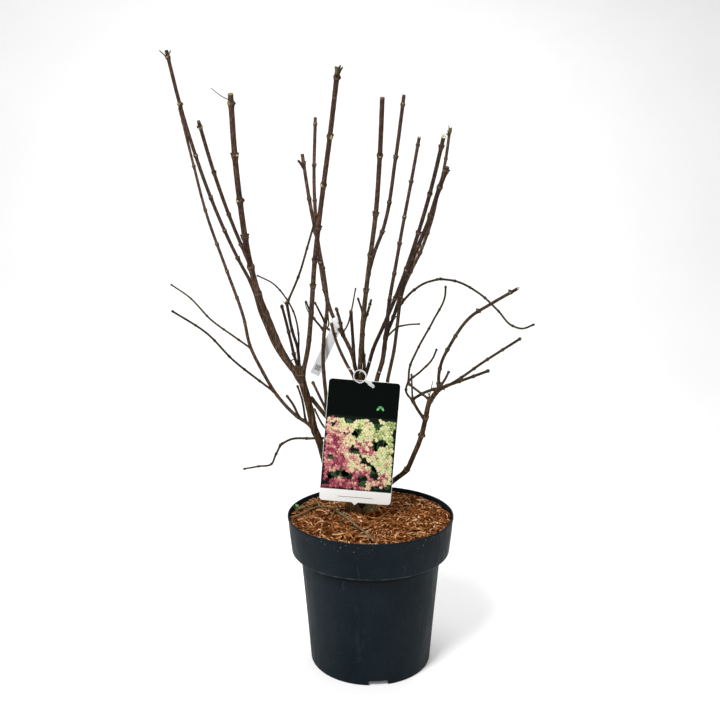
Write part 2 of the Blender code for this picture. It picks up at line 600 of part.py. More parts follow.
def make_mulch():
    """The root ball and mulch as one filling, clear of the pot's wall all round."""
    wall = inner_profile(GAP)
    ledge_radius, ledge_height = wall[-1]
    rise = (MULCH_TOP - ledge_height) / (POT_HEIGHT - ledge_height)
    top_radius = ledge_radius + (POT_RIM_RADIUS - COLLAR_FOOT_RADIUS) * rise - MULCH_WALL_GAP
    profile = [(0.0, wall[0][1])] + wall + [(top_radius, MULCH_TOP - MULCH_EDGE_DROP)]
    profile += [(radius, MULCH_TOP) for radius in MULCH_RINGS] + [(0.0, MULCH_TOP)]
    add_object("mulch", turned(profile, POT_SIDES, mulch_ripple), "bark_mulch")


def make_stool():
    """The old stump that every trunk rises from: lobed, flared and cut flat at the mulch."""
    bm = bmesh.new()
    loops = []
    for share in STOOL_RINGS:
        flare = STOOL_TOP_RADIUS + (STOOL_RADIUS - STOOL_TOP_RADIUS) * (1 - share) ** STOOL_FLARE_POWER
        if share == STOOL_RINGS[-1]:
            flare *= STOOL_SHOULDER
        loop = []
        for k in range(STOOL_SIDES):
            angle = 2 * math.pi * k / STOOL_SIDES
            lobe = 1 + STOOL_LOBE_DEPTH * (1 - share) * math.cos(STOOL_LOBES * angle + STOOL_LOBE_TURN)
            height = MULCH_TOP + GAP + STOOL_HEIGHT * share
            offset = Vector((math.cos(angle), math.sin(angle), 0.0)) * flare * lobe
            loop.append(bm.verts.new(STOOL_CENTRE + offset + Vector((0.0, 0.0, height))))
        loops.append(loop)
    for lower, upper in zip(loops, loops[1:]):
        for k in range(STOOL_SIDES):
            bm.faces.new((lower[k], lower[(k + 1) % STOOL_SIDES], upper[(k + 1) % STOOL_SIDES], upper[k]))
    bm.faces.new(list(reversed(loops[0])))
    bm.faces.new(loops[-1])
    return add_object("stool", bm, "old_wood")


def inflated_stool(stool):
    """A copy of the stool grown by the gap, to cut the trunks that rise from it."""
    bm = bmesh.new()
    bm.from_mesh(stool.data)
    bm.normal_update()
    grown = [(vert, vert.co + vert.normal * STOOL_MOULD_GAP) for vert in bm.verts]
    for vert, place in grown:
        vert.co = place
    return bm


def tree_of(bm):
    """A search tree over a bmesh, for telling whether two solids meet."""
    return BVHTree.FromBMesh(bm)


class Shrub:
    """Grows limbs one after another, each clear of all that stand already."""

    def __init__(self, stool):
        self.courses = {"stool": Course((
            STOOL_CENTRE + Vector((0.0, 0.0, MULCH_TOP)),
            STOOL_CENTRE + Vector((0.0, 0.0, MULCH_TOP + STOOL_HEIGHT))))}
        self.moulds = {"stool": inflated_stool(stool)}

    def sides_of(self, limb):
        """Thick limbs are rounder than thin ones."""
        if limb.foot < THIN_LIMB:
            return THIN_SIDES
        return THICK_SIDES if limb.foot >= THICK_LIMB else MIDDLE_SIDES

    def grow(self, name, limb, finish):
        """Makes one limb, cut where it meets the limbs before it."""
        foot = self.courses[limb.parent].at_height(limb.leaves)
        course = Course((foot, *limb.course))
        self.courses[name] = course
        sides = self.sides_of(limb)
        body = tube(course, stations(limb, course, sides, 0.0), sides)
        place = tree_of(body)
        met = [mould for mould in self.moulds.values() if tree_of(mould).overlap(place)]
        self.moulds[name] = tube(course, stations(limb, course, sides, GAP), sides)
        obj = add_object(name, body, finish)
        for mould in met:
            cutter = add_object("mould", mould.copy(), finish)
            apply_boolean(obj, cutter, "DIFFERENCE")
        keep_largest_piece(obj)
        return obj


def make_dead_twigs():
    """Two dry twigs that lie on the mulch."""
    for name, (course, thickness, height) in DEAD_TWIGS.items():
        line = Course([(x, y, MULCH_TOP + height) for x, y in course])
        rings = []
        for k in range(DEAD_TWIG_RINGS):
            share = k / (DEAD_TWIG_RINGS - 1)
            rings.append((line.length * share, thickness / 2 * (1 - DEAD_TWIG_TAPER * share)))
        add_object(name, tube(line, rings, DEAD_TWIG_SIDES), "dry_twig")


def card_outline():
    """The card's edge, seen from the front with its top centre at the origin, running clockwise."""
    half = CARD_WIDTH / 2
    corners = (
        (half - CARD_CORNER, -CARD_CORNER, 90),
        (half - CARD_CORNER, -CARD_HEIGHT + CARD_CORNER, 0),
        (-half + CARD_CORNER, -CARD_HEIGHT + CARD_CORNER, -90),
        (-half + CARD_CORNER, -CARD_CORNER, -180),
    )
    points = []
    for index, (x, z, start) in enumerate(corners):
        for step in range(4):
            angle = math.radians(start - 30 * step)
            points.append((x + CARD_CORNER * math.cos(angle), z + CARD_CORNER * math.sin(angle)))
        if index == 1:
            points.append((CARD_TOOTH_WIDTH / 2, -CARD_HEIGHT))
            points.append((0.0, -CARD_HEIGHT - CARD_TOOTH_DEPTH))
            points.append((-CARD_TOOTH_WIDTH / 2, -CARD_HEIGHT))
    return points


def card_place():
    """The card's turn and place: hung a little askew, facing the front."""
    return Matrix.Translation(CARD_TOP_CENTRE) @ Matrix.Rotation(CARD_TURN, 4, "Y")


def card_hole():
    """The middle of the card's hole, in the part's own frame."""
    return card_place() @ Vector((CARD_HOLE_ALONG, 0.0, -CARD_HOLE_DOWN))


def make_card():
    """The plant's card: rounded corners, a small tooth below and a hole for the tie."""
    bm = bmesh.new()
    edge = [bm.verts.new((x, 0.0, z)) for x, z in card_outline()]
    face = bm.faces.new(edge)
    raised = bmesh.ops.extrude_face_region(bm, geom=[face])
    lifted = [item for item in raised["geom"] if isinstance(item, bmesh.types.BMVert)]
    bmesh.ops.translate(bm, verts=lifted, vec=(0.0, CARD_THICKNESS, 0.0))
    bmesh.ops.transform(bm, matrix=card_place(), verts=bm.verts[:])
    card = add_object("label_card", bm, "printed_card")
    drill = bmesh.new()
    bmesh.ops.create_cone(
        drill, cap_ends=True, segments=CARD_HOLE_SIDES, radius1=CARD_HOLE_RADIUS, radius2=CARD_HOLE_RADIUS,
        depth=CARD_WIDTH, matrix=Matrix.Translation(card_hole()) @ Matrix.Rotation(math.pi / 2, 4, "X"))
    apply_boolean(card, add_object("drill", drill, "printed_card"), "DIFFERENCE")
    keep_largest_piece(card)


def ring(radius, thickness, place, around, along):
    """A closed round ring as a bmesh, lying in the plane of its own X and Y before it is placed."""
    bm = bmesh.new()
    loops = []
    for i in range(around):
        turn = 2 * math.pi * i / around
        outward = Vector((math.cos(turn), math.sin(turn), 0.0))
        loop = []
        for k in range(along):
            angle = 2 * math.pi * k / along
            offset = outward * math.cos(angle) + Vector((0.0, 0.0, math.sin(angle)))
            loop.append(bm.verts.new(place @ (outward * radius + offset * thickness / 2)))
        loops.append(loop)
    for i in range(around):
        lower = loops[i]
        upper = loops[(i + 1) % around]
        for k in range(along):
            bm.faces.new((lower[k], lower[(k + 1) % along], upper[(k + 1) % along], upper[k]))
    return bm


def rod(start, end, radius, sides):
    """A straight round rod between two points as a bmesh."""
    line = Course((start, end))
    return tube(line, [(0.0, radius), (line.length, radius)], sides)


def make_tie(shrub):
    """The white tie: a ring before the card, a lock with its pin, and a loop round the trunk."""
    course = shrub.courses["trunk_centre"]
    up_trunk = course.distance_at_height(TIE_NECK_HEIGHT)
    neck = course.at(up_trunk)
    trunk_radius = limb_radius(TRUNKS["trunk_centre"], course.length, up_trunk)
    neck_radius = trunk_radius / math.cos(math.pi / THICK_SIDES) + TIE_NECK_CLEARANCE + TIE_THICKNESS / 2
    face_on = Matrix.Translation(TIE_RING_CENTRE) @ Matrix.Rotation(math.pi / 2, 4, "X")
    hoop = ring(TIE_RING_RADIUS, TIE_THICKNESS, face_on, TIE_RING_SIDES, TIE_SIDES)
    tie = add_object("label_tie", hoop, "white_plastic")
    hole = card_hole()
    lock = hole - Vector((0.0, TIE_LOCK_REACH, 0.0))
    behind = hole + Vector((0.0, TIE_THICKNESS, 0.0))
    lock_side = Vector((math.cos(TIE_LOCK_ANGLE), 0.0, math.sin(TIE_LOCK_ANGLE)))
    parts = [
        ring(neck_radius, TIE_THICKNESS, Matrix.Translation(neck), TIE_NECK_SIDES, TIE_SIDES),
        rod(TIE_RING_CENTRE + lock_side * TIE_RING_RADIUS, lock, TIE_LOCK_RADIUS, TIE_SIDES),
        rod(lock, behind + Vector((0.0, TIE_PIN_RADIUS, 0.0)), TIE_PIN_RADIUS, TIE_SIDES),
        rod(behind, neck - Vector((0.0, neck_radius, 0.0)), TIE_PIN_RADIUS, TIE_SIDES),
    ]
    for part in parts:
        apply_boolean(tie, add_object("tie_part", part, "white_plastic"), "UNION")
    keep_largest_piece(tie)


def make_stem_label(shrub):
    """The small white strip: a sleeve round its cane and a flag that hangs from it."""
    name = "cane_centre_left"
    course = shrub.courses[name]
    widest = TALL_CANES[name].foot / 2 * NODE_SWELL / math.cos(math.pi / MIDDLE_SIDES)
    bore = (widest + GAP) / math.cos(math.pi / SLEEVE_SIDES)
    outer = bore + FLAG_THICKNESS
    middle = course.distance_at_height(SLEEVE_CENTRE_HEIGHT)
    start = middle - SLEEVE_LENGTH / 2
    end = middle + SLEEVE_LENGTH / 2
    sleeve = add_object(
        "stem_label", tube(course, [(start, outer), (end, outer)], SLEEVE_SIDES), "white_plastic")
    hollow = tube(course, [(start - SLEEVE_OVERRUN, bore), (end + SLEEVE_OVERRUN, bore)], SLEEVE_SIDES)
    drop = FLAG_DROP.normalized()
    across = drop.cross(Vector((0.0, 1.0, 0.0))).normalized()
    through = drop.cross(across).normalized()
    centre = course.at(start + SLEEVE_LENGTH * FLAG_FOOT_SHARE) + drop * (FLAG_LENGTH / 2 - FLAG_OVERLAP)
    turn = Matrix((drop, across, through)).transposed().to_4x4()
    flag = bmesh.new()
    size = Matrix.Diagonal((FLAG_LENGTH, FLAG_WIDTH, FLAG_THICKNESS, 1.0))
    bmesh.ops.create_cube(flag, size=1.0, matrix=Matrix.Translation(centre) @ turn @ size)
    apply_boolean(sleeve, add_object("flag", flag, "white_plastic"), "UNION")
    apply_boolean(sleeve, add_object("hollow", hollow, "white_plastic"), "DIFFERENCE")
    keep_largest_piece(sleeve)


def main():
    """Builds the pot, what fills it, the shrub and its labels."""
    clear_scene()
    make_pot()
    make_mulch()
    stool = make_stool()
    shrub = Shrub(stool)
    for limbs, finish in (
            (TRUNKS, "old_wood"), (TALL_CANES, "cane_bark"), (SIDE_BOUGHS, "twig_bark"),
            (SPURS, "cane_bark"), (TWIGS, "twig_bark")):
        for name, limb in limbs.items():
            shrub.grow(name, limb, finish)
    make_dead_twigs()
    make_card()
    make_tie(shrub)
    make_stem_label(shrub)


main()
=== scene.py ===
"""The looks of a leafless panicle hydrangea in its nursery pot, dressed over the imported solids."""

import json
import math
import random
from collections import namedtuple

import bmesh
import bpy
from mathutils import Matrix, Vector, noise

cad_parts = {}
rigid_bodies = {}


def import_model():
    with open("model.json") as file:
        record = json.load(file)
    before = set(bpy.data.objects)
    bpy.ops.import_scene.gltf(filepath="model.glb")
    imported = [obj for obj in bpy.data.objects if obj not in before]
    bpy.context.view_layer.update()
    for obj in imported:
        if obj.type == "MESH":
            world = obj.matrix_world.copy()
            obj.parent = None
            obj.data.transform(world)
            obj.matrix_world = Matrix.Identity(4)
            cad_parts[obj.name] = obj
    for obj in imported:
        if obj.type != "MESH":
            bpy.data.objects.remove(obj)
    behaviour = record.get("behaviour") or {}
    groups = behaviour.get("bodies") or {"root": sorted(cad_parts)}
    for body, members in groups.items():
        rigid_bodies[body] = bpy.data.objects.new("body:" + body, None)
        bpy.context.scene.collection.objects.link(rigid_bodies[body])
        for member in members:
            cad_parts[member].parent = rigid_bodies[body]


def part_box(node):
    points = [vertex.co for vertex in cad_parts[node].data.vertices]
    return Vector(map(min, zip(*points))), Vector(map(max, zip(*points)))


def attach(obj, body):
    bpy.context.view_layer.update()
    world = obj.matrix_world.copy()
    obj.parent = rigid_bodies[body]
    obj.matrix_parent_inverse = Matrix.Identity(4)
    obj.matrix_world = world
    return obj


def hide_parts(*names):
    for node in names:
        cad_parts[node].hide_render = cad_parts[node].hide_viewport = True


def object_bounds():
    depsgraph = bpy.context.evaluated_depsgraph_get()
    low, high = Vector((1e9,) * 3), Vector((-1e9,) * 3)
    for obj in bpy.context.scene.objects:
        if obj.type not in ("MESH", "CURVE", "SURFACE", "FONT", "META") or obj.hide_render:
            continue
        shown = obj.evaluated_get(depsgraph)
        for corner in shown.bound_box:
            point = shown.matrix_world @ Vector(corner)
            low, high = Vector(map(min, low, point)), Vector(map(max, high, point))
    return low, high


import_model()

CAD_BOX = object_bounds()

# The camera stands level with the canes, tipped a little down. Its axis meets the picture above
# the middle, so the view is shifted by the difference.
CAMERA_PLACE = Vector((-0.0204, -1.49, 0.817))
CAMERA_TILT = math.radians(4.0)
PICTURE_PIXELS = 720.0
FOCAL_PIXELS = 784.0
AXIS_ROW = 291.0
SENSOR_WIDTH = 36.0

# The floor reaches from the front to the back, where it curves up into a wall.
STAGE_HALF = 2.6
STAGE_BACK = 1.6
STAGE_CURVE = 1.2
STAGE_STEPS = 12
STAGE_TOP = 3.4
WHITE = (1.0, 1.0, 1.0, 1.0)
BACKDROP_GLOW = 0.10
WORLD_GLOW = 0.40
# Each light's place, the point it faces, its size and its power.
LIGHTS = {
    "key": ((-1.3, -2.0, 2.9), (0.0, 0.0, 0.5), 1.0, 125.0),
    "fill": ((2.2, -1.6, 1.3), (0.0, 0.0, 0.6), 1.8, 8.0),
    "top": ((0.2, 0.6, 2.9), (0.0, 0.0, 0.5), 1.6, 42.0),
}

# Sizes are in metres. Z is the pot's axis, its flat underside is at zero, and -Y is the front.
POT_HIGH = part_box("pot")[1]
POT_HEIGHT = POT_HIGH.z
POT_RIM_RADIUS = POT_HIGH.x
POT_FOOT_RADIUS = 0.1155
POT_WALL = 0.0026
POT_FLOOR = 0.012
COLLAR_FOOT_HEIGHT = 0.2125
COLLAR_FOOT_RADIUS = 0.1520
BODY_TOP_RADIUS = 0.1360
POT_SIDES = 240
BODY_STEPS = 12
BODY_BOW = 0.0004
BODY_TUCK = 0.0012
EDGE_ROUND = 0.0025
LIP_BEAD = 0.0011
NOTCH_COUNT = 3
NOTCH_WIDTH = 0.036
NOTCH_HEIGHT = 0.0086
NOTCH_DEPTH = 0.045
NOTCH_ROUND = 0.002
NOTCH_OVERREACH = 0.005
NOTCH_FIRST = math.radians(-83.2)

MULCH_TOP = 0.275
MULCH_RADIUS = 0.1562
MULCH_RELIEF = 0.0034
BED_DROP = 0.0024
TWIG_LIFT = 0.0030
TWIG_BERTH = 0.0026
FIBRE_COUNT = 4000
CHIP_COUNT = 900

STOOL_CENTRE = Vector((-0.012, 0.034, 0.0))
STOOL_BERTH = 0.024
STOOL_TOP_RADIUS = 0.019
STOOL_HEIGHT = 0.030
BURL_RINGS = 26
BURL_SIDES = 90

# Limbs are told apart by how thick they are at the foot: thin ones are dressed a little thicker
# than their solids, and thick ones lose their nodes on the old wood below.
THIN_FOOT = 0.005
YOUNG_FOOT = 0.0064
THICK_FOOT = 0.010
THIN_GAIN = 1.22
OLD_HEIGHT = 0.60
YOUNG_HEIGHT = 0.76
OLD_NODE_STRENGTH = 0.22
NODE_STRENGTHS = {"trunk_right": 0.6}
PLAIN_NODE = 0.5
NODE_GAIN = 0.40
NODE_RISE = 1.15
NODE_FALL = 0.75
COLLAR_GAIN = 0.45
# A limb's skin has closer rings near a node, whose pale band starts below it. The reach and the
# band's two edges are in shares of the limb's width at its tip.
NODE_STEP = 0.0008
BARE_STEP = 0.0024
NODE_REACH = 0.8
RING_FROM = -0.16
RING_TO = 0.03
CURVE_SAMPLES = 14
STRAND_STEP = 0.0016
HEADING_REACH = 0.002
# How far the bark's waves swell and pinch a limb, as a share of its width.
OLD_WAVES = 0.075
SPUR_WAVES = 0.04
YOUNG_WAVES = 0.03

CARD_WIDTH = 0.137
CARD_HEIGHT = 0.2365
CARD_THICKNESS = 0.0008
CARD_CORNER = 0.007
CARD_CORNER_STEPS = 8
CARD_TURN = math.radians(4.75)
CARD_TOP_CENTRE = Vector((-0.011, -0.0205, 0.5440))
CARD_TOOTH_WIDTH = 0.012
CARD_TOOTH_DEPTH = 0.005
CARD_HOLE_RADIUS = 0.0022
CARD_HOLE_ALONG = 0.0175
CARD_HOLE_DOWN = 0.0085
DRILL_REACH = 0.01

TIE_THICKNESS = 0.0022
TIE_RING_RADIUS = 0.0118
TIE_RING_CENTRE = Vector((-0.0205, -0.0235, 0.5530))
TIE_NECK_HEIGHT = 0.474
TIE_NECK_CLEARANCE = 0.0006
TIE_LOOP_SLACK = 1.08
# The lock's slope and how far it stands before the hole, and its tabs in millimetres along that
# slope: x, z, width, height and depth.
LOCK_TURN = math.radians(41)
LOCK_FRONT = -0.0030
LOCK_BOW = -0.0008
LOCK_TABS = ((0, 0, 15, 5.6, 3), (1.8, 0.6, 5, 8, 4), (9.2, 0, 5.8, 4.8, 2.6))
TAB_CORNER = 0.28
PIN_REACH = 0.0022
CANE_BAND_THICKNESS = 0.0010

FLAG_LENGTH = 0.118
FLAG_WIDTH = 0.019
FLAG_THICKNESS = 0.0007
FLAG_DROP = Vector((-0.048, 0.022, -0.104))
FLAG_OVERLAP = 0.004
SLEEVE_LENGTH = 0.022
SLEEVE_CENTRE_HEIGHT = 0.646
SLEEVE_BORE_GAIN = 1.26
SLEEVE_CLEARANCE = 0.0004
SLEEVE_BEAD = 0.0004
SLEEVE_WALL = 0.0003
FLAG_FOOT_SHARE = 0.3
# The plain pattern of marks near the flag's foot, on both sides.
FLAG_MARKS = 6
FLAG_MARK_FIRST = -0.0052
FLAG_MARK_SPACING = 0.0019
FLAG_MARK_WIDTH = 0.0011
FLAG_MARK_HEIGHT = 0.012
FLAG_MARK_RISE = 0.010
FLAG_MARK_DEPTH = 0.00005

# A limb springs from its parent's middle line at the height `leaves`, or at the parent's tip, and
# passes the points of `course`, the last of which is its own tip. `foot` and `end` are its
# diameters there, and `nodes` holds the heights of its ringed joints, or only their number.
TIP = None
Limb = namedtuple("Limb", "parent leaves course foot end nodes")


def metres(value):
    """A length in millimetres, or nested tuples of them, in metres. Names and TIP stay."""
    if isinstance(value, tuple):
        return tuple(metres(part) for part in value)
    return value / 1000 if isinstance(value, (int, float)) else value


def limbs(**rows):
    """The limbs of a table whose lengths are in millimetres."""
    table = {}
    for name, (*lengths, nodes) in rows.items():
        table[name] = Limb(*metres(tuple(lengths)), metres(nodes) if isinstance(nodes, tuple) else nodes)
    return table


TRUNKS = limbs(
    trunk_left=("stool", 286, ((-60, 36, 318), (-86.5, 32, 362), (-92.5, 31, 386), (-102, 28, 419.5),
        (-109, 26, 436.5), (-119, 24, 482), (-139, 20, 557)), 14.5, 15, 3),
    trunk_centre=("stool", 292, ((-15, 36, 355), (-20, 32, 456), (-22, 30, 535)), 19, 15, 3),
    trunk_right=("stool", 286, ((20, 32, 314), (47.2, 26, 337.8), (69.3, 14, 360.2), (84.9, 4, 396.6),
        (97.8, -8, 436.1), (105.2, -18, 474.6), (110, -26, 501.5), (130, -41, 536)),
        10, 9.2, (362, 437, 472, 508)),
)

TALL_CANES = limbs(
    cane_left_thick=("trunk_left", 536, ((-155, 14, 568), (-172, 10, 599), (-193, 3, 652),
        (-212, -6, 704), (-226, -16, 761), (-241, -43, 882), (-247, -58, 963), (-250, -80, 1071)),
        12, 10, (623, 671, 708, 760, 816, 883, 963, 1053)),
    cane_tall_front=("trunk_left", 540, ((-121.5, 5, 595), (-112, -28, 672), (-102, -74, 774),
        (-89, -118, 865), (-70, -181, 982), (-55, -240, 1081)),
        9.4, 8.2, (619, 675, 726, 775, 832, 905, 982, 1068)),
    cane_left_back=("trunk_left", 424, ((-121, 38, 445), (-146, 44, 461), (-179, 54, 492),
        (-220, 63, 556), (-240.5, 74, 595), (-256, 90, 652), (-294, 120, 746), (-342.5, 150, 871),
        (-369, 171, 962), (-405, 200, 1090)),
        7.2, 5.4, (461, 500, 546, 599, 644, 691, 746, 800, 872, 963, 1060)),
    cane_left_far=("cane_left_thick", 700, ((-255, 9, 777), (-309, 36, 891), (-341, 55, 973),
        (-375, 77, 1075), (-406, 100, 1186)), 6.4, 7.4, (775, 828, 891, 974, 1076, 1172)),
    cane_left_short=("cane_left_thick", 757, ((-238, -41, 797), (-255, -83, 856), (-271, -136, 927),
        (-283, -200, 1004)), 6.6, 6.2, (801, 856, 926, 996)),
    cane_centre=("trunk_centre", 532, ((-18, 14, 604), (-15, -2, 651), (-3.5, -43, 764), (7.8, -79, 857),
        (14, -120, 957), (17, -160, 1049)), 9.2, 8.2, (597, 654, 716, 783, 857, 957)),
    cane_centre_branch=("cane_centre", 742, ((7, -16, 787), (22, -1, 826), (49.5, 54, 972),
        (68, 100, 1102)), 5.6, 6.2, (825, 882, 971, 1079)),
    cane_right_thick=("trunk_centre", 400, ((3, 20, 488), (13, 13, 543), (23, 8, 578), (26.4, 4, 602.8),
        (29.1, -1, 629)), 9.4, 8.8, (470, 530, 575, 603)),
    cane_right_inner=("cane_right_thick", TIP, ((36.4, -3, 645.1), (53.3, -10, 696.4), (64, -16, 734.7),
        (76.5, -21, 768.7), (91.8, -28, 808), (106, -34, 843.2), (116.2, -39, 876.1), (125.8, -44, 906.9),
        (139.5, -50, 944.5)), 5.2, 7.4, (664, 705, 747, 800, 855, 907, 936)),
    cane_right_front=("trunk_centre", 512, ((-7, 16, 556), (5, -8, 603), (23, -35, 649), (42, -66, 700),
        (76.5, -139, 812), (94.5, -193, 887), (110, -260, 973)),
        7.4, 6.6, (601, 652, 705, 760, 823, 887, 957)),
    cane_right_outer=("stool", 288, ((16, 50, 355), (27, 56, 441), (35.4, 67, 529.9), (47.9, 77, 586.3),
        (54.8, 86, 635.9), (59.9, 94, 675.7), (67, 100, 707.9), (83.6, 107, 746.2), (101.6, 113, 781.7),
        (118, 120, 823.5), (130.4, 128, 862.5), (139.7, 135, 903.7), (149.4, 142, 938.9),
        (158.6, 150, 984.8), (167, 160, 1042.4)),
        7.8, 6.2, (400, 465, 530, 586, 638, 688, 746, 783, 824, 918, 978, 1033)),
    cane_right_back=("cane_right_thick", 620, ((36.5, 40, 686), (51, 85, 756), (72, 144, 858),
        (88, 184, 932), (110, 240, 1038)), 7.2, 7.2, (692, 743, 802, 857, 932, 1015)),
    cane_tall_back=("trunk_centre", 360, ((-76, 38, 435), (-89, 40, 518), (-93, 43, 570),
        (-91.5, 48, 622), (-86, 75, 679), (-94, 112, 738), (-107, 150, 799), (-119, 212, 916),
        (-120, 280, 1082)), 7.6, 7.4, (430, 492, 550, 603, 689, 752, 817, 894, 972, 1066)),
    cane_centre_left=("trunk_centre", 500, ((-39, 34, 594), (-60, 43, 634), (-74, 50, 660),
        (-89, 64, 704), (-106, 86, 806), (-123, 102, 892), (-138, 120, 984)),
        7.6, 7.2, (560, 604, 710, 765, 825, 893, 965)),
)

SIDE_BOUGHS = limbs(
    bough_right_long=("trunk_right", 533, ((126, -45, 554), (130, -50, 581), (147.2, -60, 621),
        (181.2, -75, 672), (216, -85, 696), (263, -100, 726)), 5, 4.6, (542, 572, 608, 635, 682, 717)),
    bough_right_front=("trunk_right", 526, ((158, -76, 556), (192, -131, 595), (242, -220, 651)),
        4.2, 3.5, 6),
    bough_right_link=("trunk_right", 468, ((94, -20, 481), (78, -22, 508)), 5, 4.8, 1),
    bough_right_back=("bough_right_link", TIP, ((107, 3, 518), (145, 30, 523), (189, 62, 531),
        (245, 100, 543)), 4.6, 4.8, 6),
    hook_foot=("trunk_right", 508, ((92, -12, 521), (73, 7, 533)), 3.8, 3.6, 1),
    hook_rise=("hook_foot", TIP, ((76, 22, 561), (91, 42, 591), (127.5, 85, 647), (155, 120, 696),
        (157, 130, 715)), 3.6, 3.4, 5),
    arch_rise=("cane_right_outer", 678, ((87, 91, 707), (108, 92, 721), (140, 92, 731)), 4.2, 3.8, 2),
    arch_fall=("arch_rise", TIP, ((174, 94, 726), (223, 96, 700), (261, 97, 665), (288, 99, 636),
        (310, 100, 629), (336, 100, 638)), 3.8, 3.2, 6),
    droop_level=("trunk_centre", 350, ((-84, 52, 413), (-122, 63, 411), (-160, 76, 406), (-182, 85, 393)),
        4.4, 3.8, 4),
    droop_fall=("droop_level", TIP, ((-194, 92, 368), (-203, 99, 348), (-232, 109, 340),
        (-265, 120, 331)), 3.8, 3, 4),
)

SPURS = limbs(
    spur_left=("trunk_left", 550, ((-149, 31, 584), (-157, 42, 613), (-174.2, 66, 671),
        (-177.5, 70, 681)), 5.2, 4.5, 3),
    spur_middle=("trunk_left", 553, ((-141, 12, 602), (-149, 0, 633), (-159, -20, 695)), 6.4, 5.4, 3),
    stub_red=("trunk_centre", 505, ((-31, 14, 573), (-34, 6, 619), (-38, -4, 677)), 7, 6.2, 3),
    stub_fork=("cane_centre_left", 622, ((-59.8, 20, 656), (-66.3, 0, 681)), 5.4, 4.2, 2),
    stub_fork_left=("trunk_centre", 494, ((-35.5, 24, 549), (-46.5, 21, 569), (-65.2, 18, 611),
        (-76, 12, 651)), 6.6, 5.6, 3),
    stub_cross_thick=("trunk_centre", 384, ((-68, 34, 439), (-91, 39, 466), (-119, 44, 500)), 9.6, 8, 2),
    stub_cross_middle=("stub_cross_thick", 437, ((-90, 15, 488), (-112, 0, 539)), 5, 4.2, 2),
    stub_cross_thin=("stub_cross_thick", 402, ((-91, 16, 447), (-109, 6, 485)), 4, 3, 1),
    stub_outer=("cane_left_back", 458, ((-150, 17, 489), (-162, 0, 512)), 4.8, 3.6, 1),
    stub_inner=("cane_left_back", 450, ((-137, 60, 493), (-147, 72, 518)), 4, 3.2, 1),
    stub_centre_left=("cane_centre_left", 955, ((-145, 100, 969),), 4.8, 4, 0),
    stub_right_outer=("trunk_right", 530, ((137, -70, 559), (140, -90, 574)), 4.2, 3.4, 1),
    stub_right_thin=("cane_right_thick", 618, ((32.5, -14, 655), (34, -22, 684), (35, -30, 706)),
        4.6, 3.8, 2),
)

TWIGS = limbs(
    twig_left_upper=("cane_left_back", 592, ((-282, 120, 611), (-336, 164, 640), (-390, 207, 684),
        (-439, 240, 711)), 3.6, 2.8, 5),
    twig_left_lower=("cane_left_back", 506, ((-225, 48, 535), (-265, 14, 577), (-307, -30, 635),
        (-361, -80, 683)), 3.8, 3, 6),
    twig_arch_left=("spur_middle", 590, ((-139.5, 20, 626), (-149, 32, 667), (-165.5, 41, 696),
        (-192, 52, 724), (-225, 60, 740)), 3.2, 2.4, 4),
    twig_rise_left=("twig_arch_left", 690, ((-139.5, 42, 742), (-123.5, 50, 796), (-105, 60, 862)),
        3.8, 3.4, 3),
    twig_back_long=("cane_tall_back", 630, ((-114, 55, 658), (-127, 40, 691)), 4, 3, 2),
    twig_back_short=("cane_tall_back", 645, ((-108, 20, 690),), 3.8, 3, 1),
    twig_fork=("cane_centre_left", 626, ((-45, 50, 642), (-40, 58, 659), (-29, 90, 713)), 3, 2.4, 2),
    spur_centre_right=("trunk_centre", 528, ((-12.5, 25, 557.5), (-14.8, 22, 600.2), (-14.2, 15, 623.8),
        (-12.5, 6, 645.6), (-9.3, -2, 662.5), (-5.6, -10, 673.6), (-2.5, -22, 686.5), (0.8, -34, 700)),
        5.6, 3.8, (585, 628, 668, 690)),
    spur_centre_left=("cane_centre", 668, ((-25, -6, 701),), 3.8, 3, 1),
    twig_right_level=("cane_right_thick", 622, ((49, -21, 645), (63, -50, 653), (86, -100, 661)),
        3, 2.4, 2),
    twig_right_curl=("bough_right_link", 504, ((66, -34, 527), (68, -42, 542), (90, -70, 570),
        (110, -98, 599), (116, -110, 618)), 3.6, 2.8, 4),
    twig_right_spur=("bough_right_link", 506, ((79, -4, 533), (79, 10, 552)), 3.2, 2.6, 1),
)

# Each dead twig's line in plan, its thickness, and how high its axis lies over the mulch.
DEAD_TWIGS = {
    "dead_twig_long": metres((((-70, 14), (-52, -12), (-31, -58), (-8, -108), (4, -140)), 3.4, 2)),
    "dead_twig_short": metres((((-146, 14), (-126, 40), (-104, 62)), 2.8, 2.1)),
}

# The tones of a limb's faces, in the order of its materials.
BARK, RING, WOOD, PITH, BUD, SCAR, GREEN, HAIR, WEATHERED, MOSS, DARK, ROOT, CANE, PRONG, BLACK = range(15)

# How limbs end: cut pale or weathered, with a knob where another limb goes on, or with a bud.
TIP_KINDS = {
    name: kind
    for kind, names in (
        ("pale", "cane_right_front cane_right_back cane_centre_branch bough_right_long"),
        ("sliver", "cane_left_thick"),
        ("knob", "trunk_left trunk_centre trunk_right cane_right_thick bough_right_link hook_foot "
                 "arch_rise droop_level"),
        ("bud", "arch_fall droop_fall hook_rise twig_left_upper twig_left_lower twig_arch_left "
                "twig_right_curl twig_right_level spur_centre_right spur_centre_left"))
    for name in names.split()
}

# How steeply a cut tip falls to the front, where it isn't nearly square.
TIP_SLANTS = {"cane_right_front": 0.60, "cane_right_back": 1.5, "cane_centre_branch": 0.9,
              "bough_right_long": 1.0, "cane_left_thick": 0.45}

